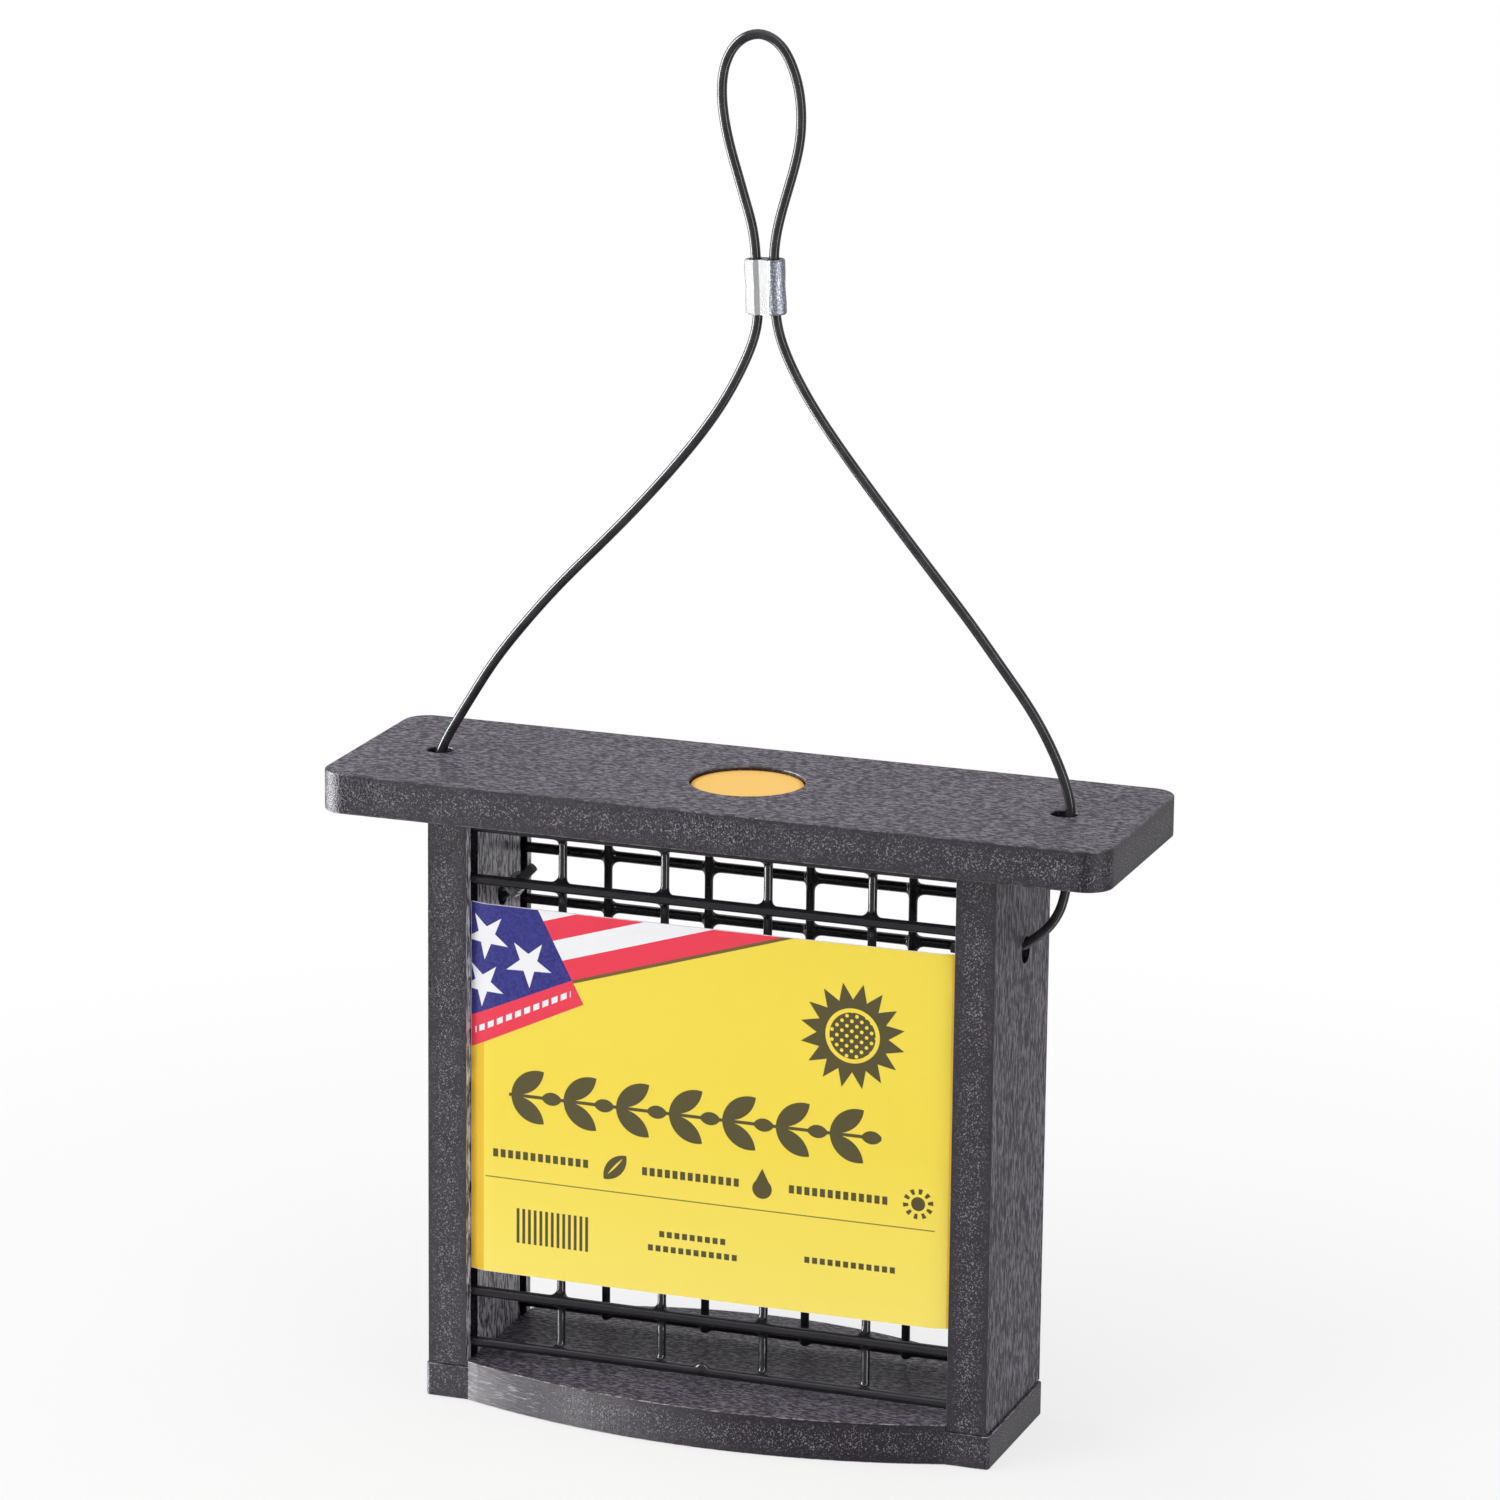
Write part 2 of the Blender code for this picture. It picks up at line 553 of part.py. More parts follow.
def barrel_point(side, share):
    """A point on a barrel's axis, from -1 at the ferrule's foot to 1 at its top; side is -1 or 1."""
    lean = Matrix.Rotation(FERRULE_LEAN, 4, "Y")
    local = Vector((side * BARREL_SPACING / 2, 0, share * FERRULE_HEIGHT / 2))
    return tuple(hanger.location + lean @ local)


def smooth_curve(points, steps=16):
    """Close points on a natural cubic spline through the route's own points."""
    knots = np.array(points, float)
    spans = np.linalg.norm(np.diff(knots, axis=0), axis=1)
    count = len(knots)
    system, load = np.eye(count), np.zeros((count, 3))
    for row in range(1, count - 1):
        before, after = spans[row - 1], spans[row]
        system[row, row - 1 : row + 2] = before, 2 * (before + after), after
        rise_after = (knots[row + 1] - knots[row]) / after
        rise_before = (knots[row] - knots[row - 1]) / before
        load[row] = 6 * (rise_after - rise_before)
    bend = np.linalg.solve(system, load)
    close = []
    for row, span in enumerate(spans):
        for share in np.arange(steps) / steps:
            rest = 1 - share
            straight = rest * knots[row] + share * knots[row + 1]
            sag = (rest**3 - rest) * bend[row] + (share**3 - share) * bend[row + 1]
            close.append(straight + sag * span**2 / 6)
    return np.array(close + [knots[-1]])


def lengths_along(curve):
    """The length of the curve up to each of its points."""
    return np.concatenate(([0.0], np.cumsum(np.linalg.norm(np.diff(curve, axis=0), axis=1))))


def stretch(curve, start, end, spacing):
    """Evenly spaced points of a curve between two lengths along it."""
    along = lengths_along(curve)
    count = max(2, round((end - start) / spacing) + 1)
    wanted = np.linspace(start, end, count)
    return np.stack([np.interp(wanted, along, curve[:, axis]) for axis in range(3)], axis=1)


def length_at_height(curve, height):
    """The length along a curve where it last rises through a height."""
    last_below = np.nonzero(curve[:, 2] < height)[0][-1]
    rise = (height - curve[last_below, 2]) / (curve[last_below + 1, 2] - curve[last_below, 2])
    along = lengths_along(curve)
    return along[last_below] + rise * (along[last_below + 1] - along[last_below])


def make_tube(name, points, parent):
    """A stretch of the cable as a round tube with closed ends."""
    curve = bpy.data.curves.new(name, "CURVE")
    curve.dimensions = "3D"
    curve.bevel_depth = CABLE_DIAMETER / 2
    curve.bevel_resolution = CABLE_RESOLUTION
    curve.use_fill_caps = True
    curve.render_resolution_u = 0
    spline = curve.splines.new("POLY")
    spline.points.add(len(points) - 1)
    for knot, point in zip(spline.points, points):
        knot.co = (*(Vector(point) - parent.location), 1)
    tube = bpy.data.objects.new(name, curve)
    tube.parent = parent
    bpy.context.scene.collection.objects.link(tube)
    finish(tube, (0.01, 0.01, 0.012), 0.2)


def make_side_cable(side_name, side, route):
    """A tail, up to the middle of the roof's thickness, and the leg from there into the loop ferrule."""
    curve = smooth_curve(route + [barrel_point(side, -1), barrel_point(side, -0.5), barrel_point(side, 0)])
    total = lengths_along(curve)[-1]
    parting = length_at_height(curve, (ROOF_BOTTOM + ROOF_TOP) / 2)
    tail = stretch(curve, 0, parting - SEAT_GAP / 2, TAIL_SPACING_SHARE * CABLE_DIAMETER)
    leg = stretch(curve, parting + SEAT_GAP / 2, total - SEAT_GAP / 2, LEG_SPACING_SHARE * CABLE_DIAMETER)
    make_tube("cable_tail_" + side_name, tail, cable)
    make_tube("cable_leg_" + side_name, leg, hanger)


def make_loop():
    """The hanging loop, both of its ends in the ferrule's barrels."""
    rise = [barrel_point(-1, share) for share in (0, 0.5, 1)]
    fall = [barrel_point(1, share) for share in (1, 0.5, 0)]
    curve = smooth_curve(rise + LOOP_ROUTE + fall)
    total = lengths_along(curve)[-1]
    points = stretch(curve, SEAT_GAP / 2, total - SEAT_GAP / 2, LOOP_SPACING_SHARE * CABLE_DIAMETER)
    make_tube("cable_loop", points, hanger)


# Bodies: the housing stands still, the roof slides up the cable, and the hanger sinks as the cable spreads
housing = frame_empty("housing", (-ROOF_SLIP, CENTRE_Y, 0))
roof = frame_empty("roof", (0, CENTRE_Y, ROOF_BOTTOM))
hanger = frame_empty("hanger", (FERRULE_X, CENTRE_Y, FERRULE_Z))
cable = frame_empty("cable", (0, 0, 0))

make_base()
make_side_board("side_board_left", -1)
make_side_board("side_board_right", 1)
for side_name, x in (("left", -SIDE_MIDDLE), ("right", SIDE_MIDDLE)):
    for depth_name, place in zip(("front", "back"), screw_places(x)):
        make_screw("base_screw_" + side_name + "_" + depth_name, place)
make_panel("front_mesh", FRONT_PANEL_LIFT, 0)
make_panel("back_mesh", BACK_PANEL_LIFT, math.pi)
make_card()
make_roof()
make_medallion()
make_loop_ferrule()
make_stop_ferrule("stop_ferrule_left", LEFT_ROUTE)
make_stop_ferrule("stop_ferrule_right", RIGHT_ROUTE)
make_side_cable("left", -1, LEFT_ROUTE)
make_side_cable("right", 1, RIGHT_ROUTE)
make_loop()
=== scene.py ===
"""The looks of a hanging suet feeder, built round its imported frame: planks of charcoal plastic lumber,
coated wire panels, a printed card, a loose roof and a coated cable with crimped ferrules. Metres, +Z up,
the front at -Y."""
import math

import bmesh
import bpy
import numpy as np
from mathutils import Matrix, Vector


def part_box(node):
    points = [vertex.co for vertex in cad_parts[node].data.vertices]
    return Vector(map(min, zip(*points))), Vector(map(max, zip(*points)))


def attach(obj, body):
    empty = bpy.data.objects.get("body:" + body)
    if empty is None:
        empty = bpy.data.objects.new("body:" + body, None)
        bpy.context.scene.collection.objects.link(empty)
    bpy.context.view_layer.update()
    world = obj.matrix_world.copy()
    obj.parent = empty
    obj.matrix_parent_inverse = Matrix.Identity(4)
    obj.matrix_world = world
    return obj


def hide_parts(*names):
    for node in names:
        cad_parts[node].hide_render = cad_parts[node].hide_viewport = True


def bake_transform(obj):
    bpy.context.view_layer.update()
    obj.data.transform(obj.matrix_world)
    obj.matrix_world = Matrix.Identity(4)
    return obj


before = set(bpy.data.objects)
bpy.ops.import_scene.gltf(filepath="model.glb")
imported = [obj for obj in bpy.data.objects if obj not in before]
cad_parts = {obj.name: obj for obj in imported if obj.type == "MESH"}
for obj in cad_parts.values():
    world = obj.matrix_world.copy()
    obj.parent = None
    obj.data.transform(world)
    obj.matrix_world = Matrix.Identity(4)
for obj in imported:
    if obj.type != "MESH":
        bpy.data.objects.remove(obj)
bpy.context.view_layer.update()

# Camera: a long lens a metre and a half away, a little to the right of the feeder's front and above it. It
# was held level to within a degree, and the photograph's frame is square.
TARGET = Vector((0.000536, -0.00285, 0.160952))
DISTANCE = 1.574933
AZIMUTH = math.radians(19.666)
ELEVATION = math.radians(14.691)
ROLL = math.radians(0.616)
SENSOR_MM = 36
LENS_MM = 163.096
camera_data = bpy.data.cameras.new("camera")
camera_data.sensor_width = SENSOR_MM
camera_data.lens = LENS_MM
camera = bpy.data.objects.new("camera", camera_data)
bpy.context.scene.collection.objects.link(camera)
level_share = math.cos(ELEVATION)
back = Vector((math.sin(AZIMUTH) * level_share, -math.cos(AZIMUTH) * level_share, math.sin(ELEVATION)))
level_right = Vector((math.cos(AZIMUTH), math.sin(AZIMUTH), 0))
level_up = back.cross(level_right)
right = level_right * math.cos(ROLL) + level_up * math.sin(ROLL)
up = level_up * math.cos(ROLL) - level_right * math.sin(ROLL)
turned = Matrix((right, up, back)).transposed().to_4x4()
camera.matrix_world = Matrix.Translation(TARGET + back * DISTANCE) @ turned
bpy.context.scene.camera = camera
bpy.context.scene.view_settings.view_transform = "Standard"


# Cable: one length of thin steel rope in a glossy black coat. Each end runs from its crimped stop inside
# the housing out through a side board and up through the roof, and both meet in the ferrule under the
# hanging loop.
CABLE_DIAMETER = 0.0023
END_GAP = 0.0003
HOUSING_X = -0.002
HOUSING_Y = -0.00285
FERRULE_MIDDLE = Vector((0.0032, HOUSING_Y, 0.2703))
FERRULE_LEAN = math.radians(-2.8)
FERRULE_HEIGHT = 0.0127
BARREL_SPACING = 0.0044
COAT_BLACK = (0.022, 0.022, 0.025, 1)
SCUFFED_BLACK = (0.036, 0.036, 0.041, 1)
DULL_TIP_GREY = (0.115, 0.110, 0.115, 1)
CUT_DARK = (0.110, 0.106, 0.110, 1)
CUT_PALE = (0.190, 0.184, 0.192, 1)


def in_middle(pairs):
    """Points of a route in the feeder's middle plane, from their x and z."""
    return [(x, HOUSING_Y, z) for x, z in pairs]


LEFT_ROUTE = [
    (-0.0543, -0.00035, 0.1264), (-0.0569, -0.00035, 0.1236), (-0.0595, -0.00035, 0.1208),
    (-0.0626, -0.00035, 0.1186), (-0.0668, -0.00035, 0.11765), (-0.0710, -0.00035, 0.1186),
    (-0.0744, -0.00035, 0.1210), (-0.0765, -0.00035, 0.1239), (-0.0776, -0.0004, 0.1275),
    (-0.0780, -0.0006, 0.1320), (-0.0782, -0.0010, 0.1380), (-0.0782, -0.0018, 0.1440),
    (-0.0779, -0.0026, 0.1490),
] + in_middle([
    (-0.0763, 0.1543), (-0.0733, 0.1600), (-0.0689, 0.1673), (-0.0640, 0.1751), (-0.0567, 0.1848),
    (-0.0468, 0.1963), (-0.0358, 0.2077), (-0.0252, 0.2191), (-0.0158, 0.2302), (-0.0078, 0.2412),
    (-0.0020, 0.2519), (0.0005, 0.2585),
])
RIGHT_ROUTE = [
    (0.0497, -0.00035, 0.1179), (0.0537, -0.00035, 0.1179), (0.0577, -0.00035, 0.1179),
    (0.0610, -0.00035, 0.1181), (0.0644, -0.00035, 0.1190), (0.0677, -0.00035, 0.1208),
    (0.0705, -0.00035, 0.1229), (0.0732, -0.00035, 0.1256), (0.0756, -0.00045, 0.1296),
    (0.0770, -0.0008, 0.1345), (0.0778, -0.0013, 0.1400), (0.0782, -0.0020, 0.1455),
    (0.0785, -0.0027, 0.1505),
] + in_middle([
    (0.0783, 0.1555), (0.0767, 0.1614), (0.0735, 0.1685), (0.0688, 0.1764), (0.0620, 0.1854),
    (0.0544, 0.1950), (0.0463, 0.2046), (0.0381, 0.2142), (0.0301, 0.2237), (0.0223, 0.2333),
    (0.0151, 0.2430), (0.0093, 0.2528), (0.0069, 0.2585),
])
LOOP_ROUTE = in_middle([
    (-0.0004, 0.2842), (-0.0020, 0.2896), (-0.0037, 0.2950), (-0.0054, 0.3004), (-0.0068, 0.3058),
    (-0.0077, 0.3112), (-0.0078, 0.3170), (-0.0064, 0.3225), (-0.0032, 0.3265), (0.0013, 0.3279),
    (0.0055, 0.3261), (0.0087, 0.3215), (0.0105, 0.3160), (0.0112, 0.3097), (0.0109, 0.3040),
    (0.0098, 0.2985), (0.0083, 0.2931), (0.0067, 0.2874), (0.0055, 0.2818),
])


class Signal:
    """What a node gives. An expression on it adds Math nodes to its finish, and & and | join masks."""

    def __init__(self, finish, socket):
        self.finish = finish
        self.socket = socket

    def math(self, operation, first, second=0.0):
        return self.finish.node("Math", {"operation": operation}, {0: first, 1: second})

    def __add__(self, other):
        return self.math("ADD", self, other)

    def __radd__(self, other):
        return self.math("ADD", other, self)

    def __sub__(self, other):
        return self.math("SUBTRACT", self, other)

    def __rsub__(self, other):
        return self.math("SUBTRACT", other, self)

    def __mul__(self, other):
        return self.math("MULTIPLY", self, other)

    def __rmul__(self, other):
        return self.math("MULTIPLY", other, self)

    def __truediv__(self, other):
        return self.math("DIVIDE", self, other)

    def __mod__(self, other):
        return self.math("FLOORED_MODULO", self, other)

    def __lt__(self, other):
        return self.math("LESS_THAN", self, other)

    def __gt__(self, other):
        return self.math("GREATER_THAN", self, other)

    def __and__(self, other):
        return self.math("MINIMUM", self, other)

    def __or__(self, other):
        return self.math("MAXIMUM", self, other)

    def __abs__(self):
        return self.math("ABSOLUTE", self)

    def root(self):
        return self.math("SQRT", self)

    def cosine(self):
        return self.math("COSINE", self)

    def rise(self, low, high):
        """0 up to the low value and 1 from the high one, even between them."""
        return self.finish.node("MapRange", {}, {0: self, 1: low, 2: high})


class Finish:
    """One finish: a material, its shader and the nodes that vary it."""

    def __init__(self, name, values):
        self.material = bpy.data.materials.new(name)
        self.material.use_nodes = True
        self.tree = self.material.node_tree
        self.shader = self.tree.nodes["Principled BSDF"]
        self.feed(self.shader, values)

    def feed(self, node, values):
        """Gives a node's sockets their values or links."""
        for name, value in values.items():
            if isinstance(value, Signal):
                self.tree.links.new(value.socket, node.inputs[name])
            else:
                node.inputs[name].default_value = value

    def node(self, kind, settings, values, output=0):
        """Adds a node of a kind: its settings first, then its values or links."""
        made = self.tree.nodes.new("ShaderNode" + kind)
        for name, value in settings.items():
            setattr(made, name, value)
        self.feed(made, values)
        return Signal(self, made.outputs[output])

    def place(self):
        """The place on the piece, in metres from the feeder's origin."""
        return self.node("TexCoord", {}, {}, "Object")

    def axes(self, vector):
        """The three numbers of a vector."""
        return [self.node("SeparateXYZ", {}, {0: vector}, axis) for axis in range(3)]

    def stretched(self, vector, factors):
        """A vector with each of its numbers times a factor."""
        return self.node("VectorMath", {"operation": "MULTIPLY"}, {0: vector, 1: factors})

    def cloud(self, vector, factors, detail=2.0, roughness=0.5):
        """Noise with that many lumps to the metre along each axis."""
        values = {"Scale": 1.0, "Detail": detail, "Roughness": roughness}
        values["Vector"] = self.stretched(vector, factors)
        return self.node("TexNoise", {}, values)

    def mix(self, share, low, high):
        """A colour between two others."""
        return self.node("Mix", {"data_type": "RGBA"}, {0: share, 6: low, 7: high}, 2)

    def relief(self, height, depth):
        """The normal of a surface with that height pattern, this deep in metres."""
        return self.node("Bump", {}, {"Height": height, "Distance": depth})


def barrel_point(side, share):
    """A point on a ferrule barrel's axis, from -1 at the foot to 1 at the top; side is -1 or 1."""
    local = Vector((side * BARREL_SPACING / 2, 0, share * FERRULE_HEIGHT / 2))
    return tuple(FERRULE_MIDDLE + Matrix.Rotation(FERRULE_LEAN, 3, "Y") @ local)


def smooth_curve(points, steps=16):
    """Close points on a natural cubic spline through the route's own points."""
    knots = np.array(points, float)
    spans = np.linalg.norm(np.diff(knots, axis=0), axis=1)
    count = len(knots)
    system, load = np.eye(count), np.zeros((count, 3))
    for row in range(1, count - 1):
        before, after = spans[row - 1], spans[row]
        system[row, row - 1 : row + 2] = before, 2 * (before + after), after
        rise_after = (knots[row + 1] - knots[row]) / after
        rise_before = (knots[row] - knots[row - 1]) / before
        load[row] = 6 * (rise_after - rise_before)
    bend = np.linalg.solve(system, load)
    close = []
    for row, span in enumerate(spans):
        for share in np.arange(steps) / steps:
            rest = 1 - share
            straight = rest * knots[row] + share * knots[row + 1]
            sag = (rest**3 - rest) * bend[row] + (share**3 - share) * bend[row + 1]
            close.append(straight + sag * span**2 / 6)
    return np.array(close + [knots[-1]])


def lengths_along(curve):
    """The length of a curve up to each of its points."""
    return np.concatenate(([0.0], np.cumsum(np.linalg.norm(np.diff(curve, axis=0), axis=1))))


def stretch(curve, start, end):
    """Points of a curve between two lengths along it, two to the cable's diameter."""
    along = lengths_along(curve)
    wanted = np.linspace(start, end, round((end - start) / (CABLE_DIAMETER / 2)))
    return np.stack([np.interp(wanted, along, curve[:, axis]) for axis in range(3)], axis=1)


def length_at_height(curve, height):
    """The length along a curve where it last rises through a height."""
    last_below = np.nonzero(curve[:, 2] < height)[0][-1]
    rise = (height - curve[last_below, 2]) / (curve[last_below + 1, 2] - curve[last_below, 2])
    along = lengths_along(curve)
    return along[last_below] + rise * (along[last_below + 1] - along[last_below])


def add_piece(name, mesh, finishes, nodes):
    """Puts a finished mesh in the scene, in place of the frame's plain solids."""
    made = bpy.data.objects.new(name, mesh)
    for finish in finishes:
        mesh.materials.append(finish.material)
    bpy.context.scene.collection.objects.link(made)
    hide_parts(*nodes)
    return made


DULL_TIP_HALF_SPAN = 0.057
DULL_TIP_TOP = 0.130
coat = Finish("cable_coat", {"Specular IOR Level": 0.4})
coat_place = coat.place()
coat_x, _, coat_z = coat.axes(coat_place)
# Inside the housing the coat is scuffed dull by the crimping of the stops
dull_tip = (abs(coat_x - HOUSING_X) < DULL_TIP_HALF_SPAN) & (coat_z < DULL_TIP_TOP)
scuffs = coat.cloud(coat_place, (300, 300, 300), detail=2)
coat_black = coat.mix(scuffs.rise(0.4, 0.7), COAT_BLACK, SCUFFED_BLACK)
coat.feed(coat.shader, {
    "Base Color": coat.mix(dull_tip, coat_black, DULL_TIP_GREY),
    "Roughness": 0.09 + scuffs * 0.12 + dull_tip * 0.4,
    "Normal": coat.relief(scuffs, 0.00002),
})
cut_steel = Finish("cable_cut_end", {})
strands = cut_steel.cloud(cut_steel.place(), (3200, 3200, 3200), detail=1)
cut_steel.feed(cut_steel.shader, {
    "Base Color": cut_steel.mix(strands.rise(0.45, 0.6), CUT_DARK, CUT_PALE),
    "Roughness": 0.60 + strands * 0.3,
    "Normal": cut_steel.relief(strands, 0.0002),
})


def add_cable(name, points, node):
    """A stretch of the cable as a round tube, cut off square at both ends."""
    curve = bpy.data.curves.new(name + "_line", "CURVE")
    curve.dimensions = "3D"
    curve.bevel_depth = CABLE_DIAMETER / 2
    curve.bevel_resolution = 6
    curve.use_fill_caps = True
    spline = curve.splines.new("POLY")
    spline.points.add(len(points) - 1)
    for knot, point in zip(spline.points, points):
        knot.co = (*point, 1)
    line = bpy.data.objects.new(name + "_line", curve)
    bpy.context.scene.collection.objects.link(line)
    mesh = bpy.data.meshes.new_from_object(line.evaluated_get(bpy.context.evaluated_depsgraph_get()))
    bpy.data.objects.remove(line)
    mesh.name = name
    mesh.materials.clear()
    for face in mesh.polygons:
        face.material_index = int(len(face.vertices) > 4)
    mesh.shade_smooth()
    mesh.set_sharp_from_angle(angle=math.radians(50))
    return add_piece(name, mesh, (coat, cut_steel), [node])


ROOF_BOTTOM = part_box("roof_board")[0].z
ROOF_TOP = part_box("roof_board")[1].z
TAIL_LOOSE_Z = 0.127
TAIL_HELD_Z = 0.143
for side_name, side, route in (("left", -1, LEFT_ROUTE), ("right", 1, RIGHT_ROUTE)):
    line = smooth_curve(route + [barrel_point(side, share) for share in (-1, -0.5, 0)])
    total = lengths_along(line)[-1]
    parting = length_at_height(line, (ROOF_BOTTOM + ROOF_TOP) / 2)
    tail_points = stretch(line, 0, parting - END_GAP / 2)[::-1]
    leg_points = stretch(line, parting + END_GAP / 2, total - END_GAP / 2)
    tail = add_cable("tail_" + side_name, tail_points, "cable_tail_" + side_name)
    low, high = Vector(tail_points[0]), Vector(tail_points[0])
    low.z, high.z = TAIL_LOOSE_Z, TAIL_HELD_Z
    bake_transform(tail)
    leg = add_cable("leg_" + side_name, leg_points, "cable_leg_" + side_name)
    Vector(barrel_point(side, -1))
    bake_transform(leg)
    "stop_ferrule_" + side_name
rise_points = [barrel_point(-1, share) for share in (0, 0.5, 1)]
fall_points = [barrel_point(1, share) for share in (1, 0.5, 0)]
loop_line = smooth_curve(rise_points + LOOP_ROUTE + fall_points)
loop_points = stretch(loop_line, END_GAP / 2, lengths_along(loop_line)[-1] - END_GAP / 2)
loop = add_cable("hanging_loop", loop_points, "cable_loop")
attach(loop, "hanger")


# Base: a plank of charcoal plastic lumber, bowed out in front and behind between the side boards, which
# stand in a rabbet at each end. Its wide faces are drawn smooth with a fine grain, and its sawn edges are
# stippled.
X_AXIS = 0
Z_AXIS = 2
ARRIS = 0.0004
PLANK_THICKNESS = 0.0097
PLANK_DEPTH = 0.0413
RABBET_DEPTH = 0.0016
HALF_OPENING = 0.060
FRONT_BOW = 0.0105
BACK_BOW = 0.0162
SHOULDER = HALF_OPENING - END_GAP
BASE_CORNER_RADIUS = 0.001
BOW_STEPS = 40
CORNER_FACETS = 5
DRAWN_SHARE = 0.32
SCREW_REACH = 0.009
SCREW_HEAD_RADIUS = 0.0034
SCREW_SHANK_RADIUS = 0.00175
SCREW_HEAD_HEIGHT = 0.0021
SCREW_SINK = 0.0004
EDGE_FACING = 0.1
WIDE_FACING = 0.98
LEVEL_GRAIN = (500, 950)
LONG_STREAKS_ACROSS = 1350
SHORT_STREAKS_ACROSS = 2300
STREAK_CONTRAST = 15
GRAIN_DARK = (0.009, 0.005, 0.013, 1)
GRAIN_PALE = (0.158, 0.138, 0.180, 1)
# Painted light: the paler colour of the uprights' inner faces
INNER_FACE_PAINTED_LIGHT = (0.68, 0.64, 0.72, 1)
STIPPLE_DARK = (0.010, 0.007, 0.013, 1)
STIPPLE_PALE = (0.290, 0.258, 0.308, 1)
ARRIS_DARK = (0.030, 0.027, 0.033, 1)
# Pale arris colour of the base: wear and a painted highlight along its edges
BASE_ARRIS_WEAR_AND_HIGHLIGHT = (0.34, 0.32, 0.34, 1)


def drawn_finish(name, grain_axis, lengths, roughness, middle_x=0.0, inner_side=0):
    """The wide face of a plank: short pale and dark streaks along its grain, matt and faintly ribbed.
    Towards the inner side, where there is one, it is smoother and painted paler: painted light on the inner
    face."""
    made = Finish(name, {})
    place = made.place()
    long_factors = [lengths[0] if axis == grain_axis else LONG_STREAKS_ACROSS for axis in range(3)]
    short_factors = [lengths[1] if axis == grain_axis else SHORT_STREAKS_ACROSS for axis in range(3)]
    long_streaks = made.cloud(place, long_factors, detail=2, roughness=0.6)
    short_streaks = made.cloud(place, short_factors, detail=2, roughness=0.6)
    clouds = made.cloud(place, (60, 60, 60), detail=2)
    streaks = long_streaks * 0.6 + short_streaks * 0.4
    # The inner face's mask: there the face is painted paler, as painted light, and made smoother
    inner_face_painted_light = (made.axes(place)[0] - middle_x) * inner_side > ARRIS
    shade = (streaks - 0.5) * STREAK_CONTRAST + (clouds - 0.5) * 0.6 + 0.14 + inner_face_painted_light * 0.45
    pale = made.mix(inner_face_painted_light, GRAIN_PALE, INNER_FACE_PAINTED_LIGHT)
    made.feed(made.shader, {
        "Base Color": made.mix(shade, GRAIN_DARK, pale),
        "Roughness": roughness + (0.5 - streaks) * 1.1 - inner_face_painted_light * 0.2,
        "Normal": made.relief(streaks, 0.0004),
    })
    return made


def stippled_finish(name, axis, middle, drawn_from_x=1.0, drawn_to_x=1.0):
    """A plank's narrow edge: a dense pale stipple, thickest along the middle of the edge, where this is a
    painted sheen, and thinning towards both arrises as painted shade. Between two places it is drawn out
    into fine level streaks."""
    made = Finish(name, {"Specular IOR Level": 0.4})
    place = made.place()
    fine = made.cloud(place, (2500, 2500, 2500), detail=2, roughness=0.75)
    drawn = made.cloud(place, (260, 260, 2600), detail=2, roughness=0.6)
    coarse = made.cloud(place, (200, 200, 200), detail=1)
    axes = made.axes(place)
    drawn_share = (axes[0] > drawn_from_x) * (1 - axes[0].rise(drawn_to_x - 0.006, drawn_to_x + 0.012))
    grain = fine + (drawn - fine) * drawn_share
    offset = abs(axes[axis] - middle) * (2 / PLANK_THICKNESS)
    # Painted sheen along the middle of the edge, fading to painted shade at both arrises
    middle_sheen = 1 - offset.rise(0.3, 0.95) * 0.9
    flecks = (grain + (coarse - 0.5) * 0.08).rise(0.575, 0.63) * middle_sheen
    made.feed(made.shader, {
        "Base Color": made.mix(flecks, STIPPLE_DARK, STIPPLE_PALE),
        "Roughness": 0.36 + (0.5 - grain) * 0.5,
        "Normal": made.relief(grain, 0.00018),
    })
    return made


def arris_finish(name, pale):
    """The rounded corner between a plank's faces, paler here and there: partly wear, partly a painted
    highlight along the edge.
    """
    made = Finish(name, {"Roughness": 0.36})
    place = made.place()
    rubs_and_highlight = made.cloud(place, (420, 420, 420), detail=4, roughness=0.65).rise(0.46, 0.60)
    made.feed(made.shader, {
        "Base Color": made.mix(rubs_and_highlight, ARRIS_DARK, pale),
        "Normal": made.relief(rubs_and_highlight, 0.0001),
    })
    return made


def add_cylinder(bm, radius, length, middle, turn=Matrix.Identity(4), top_radius=None, sides=48):
    """A round rod or cone, along Z before its turn."""
    top = radius if top_radius is None else top_radius
    place = Matrix.Translation(middle) @ turn
    bmesh.ops.create_cone(
        bm, cap_ends=True, segments=sides, radius1=radius, radius2=top, depth=length, matrix=place
    )


def add_box(bm, low, high):
    """A box between two corners."""
    size = Vector(high) - Vector(low)
    middle = (Vector(high) + Vector(low)) / 2
    bmesh.ops.create_cube(bm, size=1, matrix=Matrix.Translation(middle) @ Matrix.Diagonal((*size, 1)))


def guide_of(bm, name):
    """A bmesh as an object that only guides a modifier."""
    mesh = bpy.data.meshes.new(name)
    bm.to_mesh(mesh)
    bm.free()
    guide = bpy.data.objects.new(name, mesh)
    bpy.context.scene.collection.objects.link(guide)
    return guide


def shaped(bm, name, modifiers):
    """The mesh of a bmesh after modifiers, which are given as their kind and settings."""
    guide = guide_of(bm, name)
    for kind, settings in modifiers:
        modifier = guide.modifiers.new(kind.lower(), kind)
        for setting, value in settings.items():
            setattr(modifier, setting, value)
    mesh = bpy.data.meshes.new_from_object(guide.evaluated_get(bpy.context.evaluated_depsgraph_get()))
    bpy.data.objects.remove(guide)
    mesh.name = name
    return mesh


